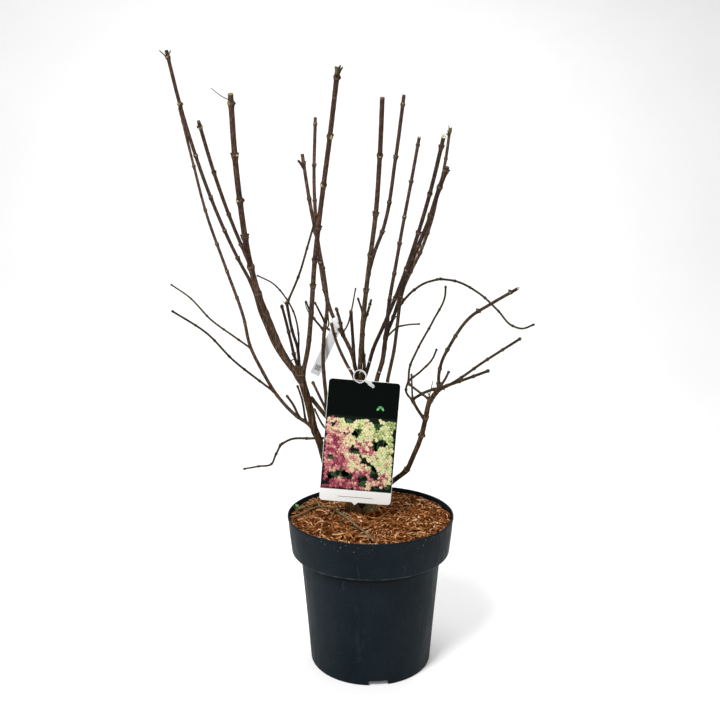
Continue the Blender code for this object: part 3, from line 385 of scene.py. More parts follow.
# Shoots that are no solids of their own: first a stem that lies against the thick left cane, then
# thin twiglets. For each: its points, its two diameters and its kind.
TWIGLETS = metres((
    (((-233.5, 4, 738), (-222.2, 4, 710), (-210.4, 3, 670), (-200.3, 5, 645), (-186, 8, 610),
     (-167.2, 14, 578), (-151, 17, 556)), 6.4, 7.6, "cane"),
    (((-406, 100, 1169), (-407.7, 98, 1174.5), (-413.7, 98, 1180.4), (-419.7, 98, 1185.6)),
     3.6, 2, "young"),
    (((-405, 100, 1169), (-400.9, 98, 1176), (-398.5, 98, 1181.9), (-396.6, 98, 1186)), 3.6, 2, "young"),
    (((-56, -239, 1072), (-53, -240, 1080), (-50.5, -240, 1084.5)), 6.2, 2.2, "bark"),
    (((-55, -240, 1070), (-50.5, -241, 1077), (-47.2, -242, 1081.2)), 5.6, 2, "bark"),
    (((-57, -240, 1070), (-57.5, -241, 1078), (-59, -241, 1082.2)), 6.6, 4, "young"),
    (((-250, -80, 1056), (-252.2, -80, 1057.5), (-263, -80, 1062.8), (-273.7, -80, 1070.1),
     (-284.4, -80, 1078.8)), 2, 1.3, "hair"),
    (((165, 155, 1030), (165.2, 156, 1039), (163.2, 158, 1046.2)), 4, 1.6, "young"),
    (((166, 155, 1030), (169, 156, 1037), (170, 158, 1042.5)), 4, 2.2, "young"),
    (((165, 155, 1024), (160, 155, 1028), (158.5, 155, 1030)), 3.6, 2, "bark"),
    (((-37, 16, 669), (-35, 16, 674)), 3, 2, "bark"),
    (((-64, -30, 670), (-62.2, -40, 675.8), (-62.2, -40, 678.6), (-66.4, -40, 682)), 2.4, 1.2, "bark"),
    (((-62.2, -40, 678.2), (-59.8, -40, 682.4)), 1.8, 1, "bark"),
    (((-83, 60, 635), (-80.9, 60, 630.9), (-77.8, 60, 619.1), (-76.8, 60, 612), (-77.1, 60, 603.8)),
     3.4, 1.8, "bark"),
    (((-86.4, 60, 633.4), (-81.2, 55, 630.5), (-74.9, 50, 624.5), (-69.7, 45, 624.1), (-64.8, 50, 627.5),
     (-58.8, 50, 629.5)), 3, 2.2, "bark"),
    (((-86.9, 47, 634), (-82.5, 50, 641.7), (-82.9, 55, 653.3), (-84.7, 70, 664)), 3.4, 2.4, "bark"),
    (((-155, -15, 678), (-156.5, -20, 683.4), (-161.5, -20, 690.2), (-166.2, -20, 696.1)),
     2.8, 1.2, "bark"),
    (((-173.5, 66, 670), (-175.6, 70, 672.5), (-178.8, 70, 673.4)), 2.4, 1.4, "bark"),
    (((-174, 67, 671.5), (-174.7, 70, 675.2), (-176.4, 70, 682.4)), 2.2, 1.2, "bark"),
    (((-156, 10, 572), (-150.5, 0, 580.2), (-144.4, 10, 580.4), (-141.1, 10, 568.2)), 2.6, 2, "bark"),
    (((-113, -20, 668), (-121.2, 0, 677.1), (-124.6, 10, 684.1), (-126.3, 10, 691.9)), 3, 1.4, "bark"),
    (((125, -38, 531), (129.2, -40, 532.3), (139.4, -40, 530)), 3.4, 1.6, "bark"),
    (((108, -25, 508), (110.9, -30, 519.9), (114.3, -30, 533.8), (116.9, -30, 545.8)), 2.6, 1.2, "bark"),
    (((111, -28, 510), (109.8, -30, 517.6), (106.3, -30, 524.5)), 3, 1.4, "bark"),
    (((78, 5, 538), (79, -10, 542.7), (79, -10, 555.6)), 1.8, 0.8, "hair"),
    (((138.5, -82, 565), (138.7, -90, 569.7), (138.7, -90, 574.1)), 1.6, 0.8, "hair"),
))

# The white tie's loose turns and tails in front of the trunk: points and thickness.
TIE_TURNS = metres((
    (((-46.8, -20, 566.9), (-31.4, -21, 563.3), (-32, -23.5, 551.4), (-27.3, -23.5, 543.1),
     (-20.5, -23.5, 540), (-12.9, -23.5, 543.1), (-9.2, -23.5, 551.4), (-12.9, -23.5, 559.6),
     (-19.1, -23.5, 562.3), (-21.5, -20, 558)), 1.7),
    (((-37.1, -20, 578.1), (-33.8, -20, 569.4), (-31.4, -20, 560.1)), 1.3),
    (((-5.1, -15, 581), (0.5, -15, 576.8), (3.2, -15, 575.8), (7.8, -12, 567), (8.2, -12, 559.7)), 0.8),
))

# The burls of old wood: each one's tone and, in millimetres, its foot, its lean, its radii at foot
# and top, and its height.
BURLS = (
    (MOSS, ((62.2, 96, 680), (3, 1, 0), 5.8, 5, 12.5)),
    (CANE, ((-135.5, 20.5, 542), (-6, -1.2, 0), 8.6, 9.9, 25.5)),
    (RING, ((-136.9, 20, 547.5), (-0.5, 0, 0), 10.8, 10.8, 2)),
    (ROOT, ((-30, 33, 272), (-10, 2, 0), 16.5, 10.5, 33)),
    (MOSS, ((-2, 35, 271), (2, 2, 0), 18.5, 12.5, 29)),
    (ROOT, ((-16, 50, 272), (1, -4, 0), 15, 11, 32)),
)

# A thin white thread round a cane.
CANE_BAND = metres(((14.7, 0, 558), (20.5, -2, 553.8), (21.5, 0, 550.3)))


# The places of a colour mixer's factor and two colours among its inputs, and of its result.
MIX_INPUTS = (0, 6, 7)
MIX_RESULT = 2


class Surface:
    """A Principled material whose colour, roughness and bump are worked out by its nodes."""

    def __init__(self, name, roughness, specular):
        self.material = bpy.data.materials.new(name)
        self.material.use_nodes = True
        self.nodes = self.material.node_tree.nodes
        self.links = self.material.node_tree.links
        self.shader = self.nodes["Principled BSDF"]
        self.shader.inputs["Roughness"].default_value = roughness
        self.shader.inputs["Specular IOR Level"].default_value = specular
        self.place = self.nodes.new("ShaderNodeTexCoord").outputs["Object"]

    def add(self, kind, **inputs):
        """A node with its inputs set, each to a value or to another node's output."""
        node = self.nodes.new("ShaderNode" + kind)
        for name, value in inputs.items():
            socket = node.inputs[name.replace("_", " ")]
            if isinstance(value, bpy.types.NodeSocket):
                self.links.new(value, socket)
            else:
                socket.default_value = value
        return node

    def noise(self, scale, stretch=(1.0, 1.0, 1.0), detail=4.0, roughness=0.6):
        """Cloudy noise from 0 to 1, its features about 1 / scale metres wide."""
        placed = self.add("Mapping", Vector=self.place, Scale=stretch).outputs["Vector"]
        texture = self.add("TexNoise", Vector=placed, Scale=scale, Detail=detail, Roughness=roughness)
        return texture.outputs["Fac"]

    def cells(self, scale, stretch=(1.0, 1.0, 1.0)):
        """The distance from each cell's middle, its cells about 1 / scale metres wide."""
        placed = self.add("Mapping", Vector=self.place, Scale=stretch).outputs["Vector"]
        return self.add("TexVoronoi", Vector=placed, Scale=scale).outputs["Distance"]

    def height(self, low, high):
        """Rises from 0 to 1 between two heights."""
        level = self.add("SeparateXYZ", Vector=self.place).outputs["Z"]
        node = self.add("MapRange", Value=level, From_Min=low, From_Max=high)
        return node.outputs["Result"]

    def band(self, low, high):
        """1 midway between two heights, falling to 0 at both and beyond."""
        return self.ramp(self.height(low, high), [(0.0, 0.0), (0.30, 0.85), (0.70, 0.85), (1.0, 0.0)])

    def ramp(self, factor, stops):
        """Turns a number into a colour by stops of (place, colour or grey)."""
        node = self.add("ValToRGB", Fac=factor)
        band = node.color_ramp.elements
        while len(band) < len(stops):
            band.new(0.5)
        for element, (place, colour) in zip(band, stops):
            element.position = place
            grey = not isinstance(colour, tuple)
            element.color = (colour, colour, colour, 1.0) if grey else (*colour, 1.0)
        return node.outputs["Color"]

    def blend(self, factor, first, second, kind="MIX"):
        """Mixes two colours, or tints one by the other."""
        node = self.nodes.new("ShaderNodeMix")
        node.data_type = "RGBA"
        node.blend_type = kind
        for index, value in zip(MIX_INPUTS, (factor, first, second)):
            if isinstance(value, bpy.types.NodeSocket):
                self.links.new(value, node.inputs[index])
            elif isinstance(value, tuple):
                node.inputs[index].default_value = (*value, 1.0)
            else:
                node.inputs[index].default_value = value
        return node.outputs[MIX_RESULT]

    def times(self, first, second):
        """One colour multiplied by another."""
        return self.blend(1.0, first, second, "MULTIPLY")

    def finish(self, colour, height, bump, roughness=None):
        """Links the colour, a bump of the given height and the roughness to the shader."""
        self.links.new(colour, self.shader.inputs["Base Color"])
        if roughness is not None:
            self.links.new(roughness, self.shader.inputs["Roughness"])
        node = self.add("Bump", Height=height, Distance=bump, Strength=1.0)
        self.links.new(node.outputs["Normal"], self.shader.inputs["Normal"])
        return self.material


def bark(name, low, high, roughness=0.72, grain=520.0, relief=0.0005, change=(0.50, 0.78)):
    """Bark with long fibres and pale flecks, whose colour changes from the foot to the top.

    `low` and `high` are (dark, middle, light) colours for the plant's foot and for its top.
    """
    skin = Surface(name, roughness, 0.15)
    fibres = skin.noise(grain, stretch=(1.0, 1.0, 0.10), detail=5.0, roughness=0.65)
    blotches = skin.noise(60.0, stretch=(1.0, 1.0, 0.45), detail=3.0)
    below, above = (skin.ramp(fibres, list(zip((0.36, 0.51, 0.68), tones))) for tones in (low, high))
    shade = skin.blend(skin.height(*change), below, above)
    cloud = skin.ramp(blotches, [(0.34, 0.60), (0.66, 1.28)])
    shade = skin.blend(0.75, shade, cloud, "MULTIPLY")
    flecks = skin.ramp(skin.cells(330.0, stretch=(1.0, 1.0, 0.55)), [(0.10, 1.0), (0.22, 0.0)])
    shade = skin.blend(skin.times(flecks, (0.30, 0.30, 0.30)), shade, high[2])
    return skin.finish(shade, fibres, relief)


def plain(name, colour, roughness, spread=0.18, scale=900.0, relief=0.0002, specular=0.15):
    """A plain colour with a little cloud in it and a fine grain."""
    skin = Surface(name, roughness, specular)
    grain = skin.noise(scale, detail=3.0)
    darker = tuple(value * (1.0 - spread) for value in colour)
    lighter = tuple(min(1.0, value * (1.0 + spread)) for value in colour)
    return skin.finish(skin.ramp(grain, [(0.35, darker), (0.65, lighter)]), grain, relief)


def pot_plastic():
    """Nearly black matte plastic with a cool tint, clouded by scuffs, dust and a few scratches."""
    skin = Surface("pot_plastic", 0.5, 0.07)
    cloud = skin.noise(16.0, stretch=(1.0, 1.0, 0.6), detail=5.0, roughness=0.65)
    base = skin.ramp(cloud, [(0.34, (0.0022, 0.0060, 0.0090)), (0.66, (0.0050, 0.0102, 0.0138))])
    scuffs = skin.noise(70.0, stretch=(1.0, 1.0, 0.22), detail=6.0, roughness=0.7)
    lines = skin.ramp(skin.noise(46.0, stretch=(1.0, 1.0, 0.5), detail=1.0),
                      [(0.585, 0.0), (0.590, 0.55), (0.595, 0.0)])
    highlight_patches = skin.ramp(skin.noise(60.0, detail=3.0), [(0.42, 0.12), (0.62, 0.9)])
    foot = COLLAR_FOOT_HEIGHT
    layers = (
        (skin.ramp(scuffs, [(0.58, 0.0), (0.76, 0.40)]), (0.020, 0.031, 0.036)),
        (skin.times(lines, skin.ramp(scuffs, [(0.52, 0.0), (0.60, 1.0)])), (0.050, 0.062, 0.066)),
        (skin.ramp(skin.noise(600.0, detail=2.0), [(0.66, 0.0), (0.74, 0.5)]), (0.070, 0.070, 0.065)),
        # A painted highlight along the collar's lower edge, broken into patches.
        (skin.times(skin.band(foot - 0.0004, foot + 0.0034), highlight_patches), (0.040, 0.054, 0.060)),
        # A painted shadow: a near-black band on the body just under the collar's overhang.
        (skin.band(foot - 0.0135, foot + 0.0004), (0.0006, 0.0010, 0.0014)),
    )
    for share, colour in layers:
        base = skin.blend(share, base, colour)
    gloss = skin.ramp(scuffs, [(0.35, 0.46), (0.70, 0.66)])
    return skin.finish(base, skin.noise(1400.0, detail=2.0), 0.00012, gloss)


RED_BARK = ((0.0130, 0.0055, 0.0034), (0.0470, 0.0212, 0.0125), (0.150, 0.090, 0.058))
BROWN_BARK = ((0.0140, 0.0072, 0.0034), (0.0480, 0.0270, 0.0130), (0.150, 0.100, 0.058))
DEEP_BARK = ((0.0090, 0.0036, 0.0020), (0.0320, 0.0142, 0.0078), (0.110, 0.064, 0.040))
# DARK_BARK is the cane bark darkened to stand in for shade on the right-hand canes and some spurs: painted
# shade.
DARK_BARK = ((0.0040, 0.0018, 0.0010), (0.0140, 0.0068, 0.0038), (0.055, 0.033, 0.020))
OLIVE_BARK = ((0.0130, 0.0076, 0.0030), (0.0500, 0.0310, 0.0130), (0.160, 0.112, 0.060))
OLD_BARK = ((0.0080, 0.0038, 0.0014), (0.0360, 0.0178, 0.0062), (0.155, 0.090, 0.048))
TWIG_BARK = ((0.0078, 0.0038, 0.0012), (0.0270, 0.0162, 0.0054), (0.105, 0.070, 0.032))
DRY_BARK = ((0.0480, 0.0290, 0.0120), (0.1750, 0.1200, 0.0600), (0.360, 0.270, 0.155))
# MOSS_BARK and ROOT_BARK, for the burls at the stool's foot, are their own colours brightened about
# twofold: painted light where the card's shadow falls.
MOSS_BARK = ((0.0450, 0.0320, 0.0110), (0.1600, 0.1200, 0.0450), (0.380, 0.300, 0.150))
ROOT_BARK = ((0.0300, 0.0150, 0.0060), (0.1300, 0.0700, 0.0290), (0.340, 0.220, 0.120))


class Finishes:
    """The materials of the plant's bark and wood, each made once."""

    def __init__(self):
        self.old = bark("bark_old", OLD_BARK, OLD_BARK, 0.85, 380.0, 0.0011)
        # The moss and root skins of the stool are brightened as painted light against the card's shadow.
        self.moss = bark("bark_moss", MOSS_BARK, MOSS_BARK, 0.95, 420.0, 0.0014)
        self.root = bark("bark_root", ROOT_BARK, ROOT_BARK, 0.95, 420.0, 0.0014)
        self.cane = bark("bark_cane", BROWN_BARK, RED_BARK)
        # The dark skin and the black one below are darkened copies of the cane bark: painted shade.
        self.dark = bark("bark_dark", DARK_BARK, DEEP_BARK, change=(0.55, 0.95))
        self.deep = bark("bark_deep", DEEP_BARK, DEEP_BARK)
        self.black = bark("bark_black", DARK_BARK, DARK_BARK)
        self.olive = bark("bark_olive", OLIVE_BARK, RED_BARK, change=(0.70, 0.98))
        self.twig = bark("bark_twig", TWIG_BARK, TWIG_BARK, 0.75, 700.0)
        self.dry = bark("bark_dry", DRY_BARK, DRY_BARK, 0.9, 700.0)
        self.ring = plain("bark_ring", (0.105, 0.068, 0.040), 0.8)
        self.scar = plain("leaf_scar", (0.330, 0.275, 0.130), 0.75)
        self.bud = plain("bud_scales", (0.020, 0.0085, 0.0050), 0.6)
        self.wood = plain("cut_wood", (0.640, 0.570, 0.420), 0.8)
        self.pith = plain("pith", (0.330, 0.230, 0.130), 0.9)
        self.green = plain("young_green", (0.165, 0.140, 0.045), 0.65)
        self.prong = plain("prong_green", (0.075, 0.070, 0.022), 0.65)
        self.hair = plain("dry_hair", (0.060, 0.055, 0.045), 0.8)
        self.weathered = plain("weathered_wood", (0.110, 0.075, 0.045), 0.9)

    def limb(self, skin):
        """The materials of a limb, in the order of the tones in its faces."""
        return [skin, self.ring, self.wood, self.pith, self.bud, self.scar, self.green, self.hair,
                self.weathered, self.moss, self.dark, self.root, self.cane, self.prong,
                self.black]


# Scars and bumps that stand out. For each limb: their depth as a share of their width, then rows of
# their height, the way they face, their length and width in millimetres, their reach and tone.
Mark = namedtuple("Mark", "limb height side length width reach tone depth")
MARKS = [
    Mark(limb, height / 1000, side, length / 1000, width / 1000, reach, tone, depth)
    for limb, depth, rows in (
        ("cane_left_thick", 0.7, (
            (1050, (-0.55, -1.0), 8.5, 6.2, 0.80, GREEN), (1052.5, (1.0, -0.1), 5.5, 5.5, 0.95, BUD),
            (885, (1.0, -0.3), 7.0, 6.8, 1.00, BUD), (885, (-0.7, -1.0), 5.0, 8.0, 0.80, SCAR),
            (965, (0.8, -0.7), 4.0, 6.5, 0.90, SCAR))),
        ("cane_left_far", 0.7, (
            (1074, (-0.5, -1.0), 8.0, 6.6, 0.70, GREEN), (1076, (1.0, 0.0), 5.0, 5.0, 1.00, BUD))),
        ("cane_left_short", 0.7, (
            (976, (0.9, -0.5), 5.0, 4.5, 0.90, SCAR), (977, (-1.0, -0.2), 5.0, 4.5, 0.95, BUD))),
        ("bough_right_long", 1.7, (
            (682, (-0.4, 0.1, 1.0), 6.0, 4.8, 0.60, DARK), (717, (-0.4, 0.1, 1.0), 6.4, 5.0, 0.60, DARK))),
        ("trunk_right", 0.7, (
            (437, (1.0, -0.2), 6.5, 6.0, 1.00, BUD), (437, (-1.0, -0.2), 6.5, 6.0, 1.00, BUD))),
        ("cane_tall_front", 0.7, (
            (984, (0.6, -1.0), 8.0, 5.6, 0.80, SCAR), (1070, (1.0, -0.3), 6.5, 6.0, 0.85, BUD),
            (906, (-0.7, -1.0), 6.0, 6.0, 0.80, SCAR))))
    for height, side, length, width, reach, tone in rows
]
# Limbs dressed wholly in the dark or black bark, darkened as painted shade.
LIMB_TONES = {"spur_left": DARK, "stub_red": DARK, "stub_right_thin": DARK, "stub_inner": DARK,
              "twig_arch_left": DARK, "spur_middle": BLACK}
TIP_TONES = {"cane_right_thick": DARK}


def inside(place):
    """The place, or the nearest one to it inside the part's own box."""
    low, high = CAD_BOX
    return [min(max(value, least), most) for value, least, most in zip(place, low, high)]


def place_object(name, data):
    """Makes an object of some data and links it to the scene."""
    obj = bpy.data.objects.new(name, data)
    bpy.context.scene.collection.objects.link(obj)
    return obj


def new_mesh(name, places, faces):
    """A mesh of vertices and faces."""
    mesh = bpy.data.meshes.new(name)
    mesh.from_pydata(places, [], faces)
    return mesh


def up(height):
    """A point on the Z axis."""
    return Vector((0.0, 0.0, height))


def spoke(angle, reach=1.0, height=0.0):
    """The point at an angle and a distance from the Z axis."""
    return Vector((reach * math.cos(angle), reach * math.sin(angle), height))


def turns(sides):
    """The angles of equal steps round a circle."""
    return [2 * math.pi * k / sides for k in range(sides)]


def ring_faces(rings, sides, closed=False):
    """The faces that join each ring of points to the next, and if closed the last to the first."""
    faces = []
    for ring in range(rings if closed else rings - 1):
        low = ring * sides
        high = (ring + 1) % rings * sides
        for k in range(sides):
            after = (k + 1) % sides
            faces.append((low + k, low + after, high + after, high + k))
    return faces


def pole_faces(rings, sides):
    """The fans that close rings of points at two poles, which come after the rings."""
    faces = []
    last = (rings - 1) * sides
    for k in range(sides):
        after = (k + 1) % sides
        faces.append((rings * sides, after, k))
        faces.append((rings * sides + 1, last + k, last + after))
    return faces


def prism_faces(count):
    """The faces of a closed plate between two like outlines."""
    faces = [tuple(range(count)), tuple(reversed(range(count, 2 * count)))]
    for k in range(count):
        after = (k + 1) % count
        faces.append((after, k, count + k, count + after))
    return faces


class Shell:
    """Gathers vertices and faces, each face with the number of its material."""

    def __init__(self):
        self.places = []
        self.faces = []
        self.tones = []

    def add(self, places, faces, tone=0):
        """Adds a closed form, with one tone for all its faces or a list of them."""
        first = len(self.places)
        self.places.extend(places)
        self.faces.extend(tuple(first + index for index in face) for face in faces)
        self.tones.extend(tone if isinstance(tone, list) else [tone] * len(faces))

    def piece(self, name, materials, nodes=(), sharp=55.0):
        """Makes the object, which rides with the part and stands for the nodes it replaces."""
        mesh = new_mesh(name, [inside(place) for place in self.places], self.faces)
        for material in materials:
            mesh.materials.append(material)
        mesh.polygons.foreach_set("material_index", self.tones)
        mesh.shade_smooth()
        mesh.set_sharp_from_angle(angle=math.radians(sharp))
        obj = place_object(name, mesh)
        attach(obj, "root")
        if nodes:
            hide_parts(*nodes)
        return obj


class Course:
    """A smooth line through a limb's points, measured along its length."""

    def __init__(self, points):
        points = [Vector(point) for point in points]
        spans = [(b - a).length for a, b in zip(points, points[1:])]
        slopes = [(b - a) / span for a, b, span in zip(points, points[1:], spans)]
        headings = [slopes[0]]
        for before, after, span_before, span_after in zip(slopes, slopes[1:], spans, spans[1:]):
            headings.append((before * span_after + after * span_before) / (span_before + span_after))
        headings.append(slopes[-1])
        self.samples = [points[0]]
        for i, span in enumerate(spans):
            for step in range(1, CURVE_SAMPLES + 1):
                t = step / CURVE_SAMPLES
                self.samples.append(
                    points[i] * (2 * t**3 - 3 * t**2 + 1)
                    + headings[i] * span * (t**3 - 2 * t**2 + t)
                    + points[i + 1] * (3 * t**2 - 2 * t**3)
                    + headings[i + 1] * span * (t**3 - t**2))
        self.reach = [0.0]
        for a, b in zip(self.samples, self.samples[1:]):
            self.reach.append(self.reach[-1] + (b - a).length)
        self.length = self.reach[-1]

    def at(self, distance):
        """The point at a distance from the foot, carried straight on past either end."""
        if distance < 0.0:
            return self.samples[0] + (self.samples[0] - self.samples[1]).normalized() * -distance
        if distance > self.length:
            onward = (self.samples[-1] - self.samples[-2]).normalized()
            return self.samples[-1] + onward * (distance - self.length)
        for i in range(1, len(self.reach)):
            if self.reach[i] >= distance:
                share = (distance - self.reach[i - 1]) / (self.reach[i] - self.reach[i - 1])
                return self.samples[i - 1].lerp(self.samples[i], share)
        return self.samples[-1]

    def heading(self, distance):
        """The direction of growth at a distance from the foot."""
        return (self.at(distance + HEADING_REACH) - self.at(distance - HEADING_REACH)).normalized()

    def distance_at_height(self, height):
        """How far along the line first comes up to a height, or the whole length."""
        for i in range(1, len(self.samples)):
            below = self.samples[i - 1].z
            above = self.samples[i].z
            if height is not TIP and below <= height <= above:
                share = (height - below) / (above - below)
                return self.reach[i - 1] + share * (self.reach[i] - self.reach[i - 1])
        return self.length

    def at_height(self, height):
        """The first point where the line comes up to a height, or its tip."""
        return self.at(self.distance_at_height(height))


def across(heading):
    """A direction square to a heading, sideways where the limb stands up."""
    lean = Vector((1.0, 0.0, 0.0)) if abs(heading.x) < 0.8 else up(1.0)
    return (lean - heading * lean.dot(heading)).normalized()


def tube(shell, course, rings, sides, tones=0, relief=None):
    """Skins rings of (distance, radius, slant) along a course and closes both ends.

    `relief` scales the radius by angle and distance, and `slant` draws a ring's front side back.
    """
    heading = course.heading(rings[0][0])
    side = across(heading)
    places = []
    for distance, radius, slant in rings:
        new_heading = course.heading(distance)
        side = heading.rotation_difference(new_heading) @ side
        heading = new_heading
        forward = heading.cross(side)
        centre = course.at(distance)
        away = (Vector((0.0, 1.0, 0.0)) - heading * heading.y).normalized()
        for angle in turns(sides):
            reach = radius * (relief(angle, distance) if relief else 1.0)
            outward = side * math.cos(angle) + forward * math.sin(angle)
            back = heading * slant * radius * (1.0 - outward.dot(away))
            places.append(centre + outward * reach - back)
    if not isinstance(tones, list):
        tones = [tones] * (len(rings) - 1)
    last = (len(rings) - 1) * sides
    faces = ring_faces(len(rings), sides)
    faces += [tuple(reversed(range(sides))), tuple(range(last, last + sides))]
    shell.add(places, faces, [tone for tone in tones for _ in range(sides)] + [tones[0]] * 2)


# How far along a bud each ring of its skin lies, and its share of the bud's width.
BLOB_PROFILE = ((0.0, 0.42), (0.16, 0.86), (0.40, 1.0), (0.68, 0.72), (0.88, 0.34))


def blob(shell, centre, axis, out, length, width, depth, tone, sides=8):
    """A pointed oval form, such as a bud or a scar, lying along an axis and raised outwards."""
    side = axis.cross(out).normalized()
    out = side.cross(axis).normalized()
    places = []
    for share, size in BLOB_PROFILE:
        for angle in turns(sides):
            offset = side * math.cos(angle) * width / 2 + out * math.sin(angle) * depth / 2
            places.append(centre + axis * length * share + offset * size)
    places += [centre - axis * length * 0.04, centre + axis * length]
    rings = len(BLOB_PROFILE)
    shell.add(places, ring_faces(rings, sides) + pole_faces(rings, sides), tone)


def limb_radius(limb, length, distance):
    """The radius of a limb at a distance from its foot, between its nodes."""
    return 0.5 * (limb.foot + (limb.end - limb.foot) * distance / length)


def node_distances(limb, course):
    """Where the ringed nodes lie: at their heights, or spread so that they widen up the limb."""
    if isinstance(limb.nodes, tuple):
        return [course.distance_at_height(height) for height in limb.nodes]
    weights = [1.0 + 0.5 * i / limb.nodes for i in range(limb.nodes)]
    last = course.length - 0.9 * limb.end
    return [last * sum(weights[:i + 1]) / sum(weights) for i in range(limb.nodes)]


def sides_of(limb):
    """How many sides a limb has: thick limbs are rounder than thin ones."""
    if limb.foot < THIN_FOOT:
        return 12
    return 24 if limb.foot >= THICK_FOOT else 16


def node_strength(name, limb, height):
    """How plainly a node shows: fully on young growth, hardly on the old wood low down."""
    if name in NODE_STRENGTHS:
        return NODE_STRENGTHS[name]
    if limb.foot < YOUNG_FOOT:
        return 1.0
    share = (height - OLD_HEIGHT) / (YOUNG_HEIGHT - OLD_HEIGHT)
    return min(1.0, max(OLD_NODE_STRENGTH, share))


# A knob's rings as shares of its length, and a cut's as (rise, width) in shares of the tip's radius.
KNOB_RINGS = (0.35, 0.65, 0.85, 0.97, 1.0)
CUT_RINGS = ((0.0, 1.0), (0.10, 0.96), (0.10, 0.76), (0.06, 0.30), (0.01, 0.28))
CUT_SLANTS = (0.05, 0.35)
# Buds and leaf scars, in shares of the limb's radius at their node, and how often a bud comes.
BUD_LEAST = 0.0006
BUD_SHARE = 0.50
THIN_BUD_GAIN = 0.8
BUD_CHANCE = 0.92
THIN_BUD_CHANCE = 0.6
BUD_TURN = 0.25
BUD_LEANS = (0.6, 1.3)
BUD_BERTH = 0.006
SCAR_LENGTH = 0.92
SCAR_WIDTH = 0.52
SCAR_DEPTH = 0.30
# The tones of leaf scars and how often each comes.
DULL_SCARS = ((RING, DARK), (60, 40))
BRIGHT_SCARS = ((SCAR, GREEN, RING), (26, 10, 64))


class Shrub:
    """Dresses the limbs one after another, each from the line of its parent."""

    def __init__(self):
        foot = STOOL_CENTRE + up(MULCH_TOP)
        self.courses = {"stool": Course((foot, foot + up(STOOL_HEIGHT)))}
        self.widths = {"stool": STOOL_TOP_RADIUS}
        self.random = random.Random(7)

    def dress(self, shell, name, limb, waves=YOUNG_WAVES):
        """Adds one limb: its bark with nodes and collar, its buds and scars, and its tip."""
        foot = self.courses[limb.parent].at_height(limb.leaves)
        course = Course((foot, *limb.course))
        self.courses[name] = course
        self.widths[name] = limb.end / 2
        nodes = node_distances(limb, course)
        seed = self.random.uniform(0.0, 90.0)
        sides = sides_of(limb)
        parent_width = self.widths[limb.parent]

        strengths = [node_strength(name, limb, course.at(node).z) for node in nodes]
        plain_nodes = [node for node, strength in zip(nodes, strengths) if strength > PLAIN_NODE]

        def radius(distance):
            plain_radius = limb_radius(limb, course.length, distance)
            if limb.foot < YOUNG_FOOT:
                plain_radius *= THIN_GAIN
            gain = 0.0
            for node, strength in zip(nodes, strengths):
                span = (distance - node) / plain_radius
                fade = NODE_RISE if span < 0 else NODE_FALL
                gain += NODE_GAIN * strength * math.exp(-(span / fade) ** 2)
            past = max(0.0, distance - parent_width) / (1.1 * limb.foot)
            return plain_radius * (1.0 + gain + COLLAR_GAIN * math.exp(-past * past))

        def relief(angle, distance):
            broad = noise.noise(spoke(angle, 1.6, seed + distance * 45.0))
            fine = noise.noise(spoke(angle, 5.0, seed + distance * 160.0))
            return 1.0 + waves * (1.5 * broad + 0.9 * fine)

        rings = []
        tones = []
        distance = 0.0
        while distance < course.length:
            rings.append((distance, radius(distance), 0.0))
            near = any(abs(distance - node) / limb.end < NODE_REACH for node in nodes)
            close = any(RING_FROM < (distance - node) / limb.end < RING_TO for node in plain_nodes)
            tones.append(RING if close else LIMB_TONES.get(name, BARK))
            distance += NODE_STEP if near else BARE_STEP
        self.finish_tip(shell, name, course, rings, tones, sides, limb, relief)
        self.set_buds(shell, course, plain_nodes, limb, radius)
        for mark in MARKS:
            if mark.limb == name:
                set_mark(shell, course, nodes, mark, radius)

    def finish_tip(self, shell, name, course, rings, tones, sides, limb, relief):
        """Skins a limb and closes its tip: a slanted cut with its pith, a rounded knob, or a bud."""
        tip = TIP_KINDS.get(name)
        end = limb.end / 2
        uncut = tip in ("knob", "bud")
        slant = 0.0 if uncut else TIP_SLANTS.get(name, self.random.uniform(*CUT_SLANTS))
        while rings and rings[-1][0] > course.length - end * (0.5 + 2 * slant):
            rings.pop()
            tones.pop()
        if tip == "knob":
            for share in KNOB_RINGS:
                rings.append((course.length - end * (1 - share), end * math.sqrt(1.02 - share**3), 0.0))
                tones.append(TIP_TONES.get(name, BARK))
        elif tip == "bud":
            rings.append((course.length - end * 0.5, end * 0.9, 0.0))
            rings.append((course.length, end * 0.35, 0.0))
            tones += [BARK, BUD]
        else:
            back = course.length - end * 0.15
            for rise, share in CUT_RINGS:
                rings.append((back + end * (rise - slant * (1.0 - share)), end * share, slant))
            face = {"pale": WOOD, "sliver": GREEN}.get(tip, WEATHERED)
            tones += [BARK, RING, face, PITH if tip == "pale" else face, face]
        tube(shell, course, rings, sides, tones[:len(rings) - 1], relief)

    def set_buds(self, shell, course, nodes, limb, radius):
        """Adds the paired buds of each node over their leaf scars, each pair crossing the last."""
        thin = limb.foot < THIN_FOOT
        tones, weights = DULL_SCARS if thin or limb.parent == "stool" else BRIGHT_SCARS
        for index, node in enumerate(nodes):
            width = radius(node)
            size = (BUD_LEAST + BUD_SHARE * width) * (THIN_BUD_GAIN if thin else 1.0)
            heading = course.heading(node)
            side = across(heading)
            forward = heading.cross(side)
            turn = (index % 2) * math.pi / 2 + self.random.uniform(-BUD_TURN, BUD_TURN)
            for half in (0, 1):
                angle = turn + half * math.pi
                out = side * math.cos(angle) + forward * math.sin(angle)
                base = course.at(node + 0.25 * width) + out * width * 0.74
                grow = (heading + out * self.random.uniform(*BUD_LEANS)).normalized()
                budding = self.random.random() < (THIN_BUD_CHANCE if thin else BUD_CHANCE)
                if budding and node < course.length - BUD_BERTH:
                    blob(shell, base, grow, out, size, size, size * 0.9, BUD)
                scar = course.at(node - 0.30 * width) + out * width * 0.86
                tone = self.random.choices(tones, weights)[0]
                along = heading.cross(out).normalized()
                start = scar - along * width * SCAR_LENGTH / 2
                blob(shell, start, along, out, width * SCAR_LENGTH, width * SCAR_WIDTH,
                     width * SCAR_DEPTH, tone)


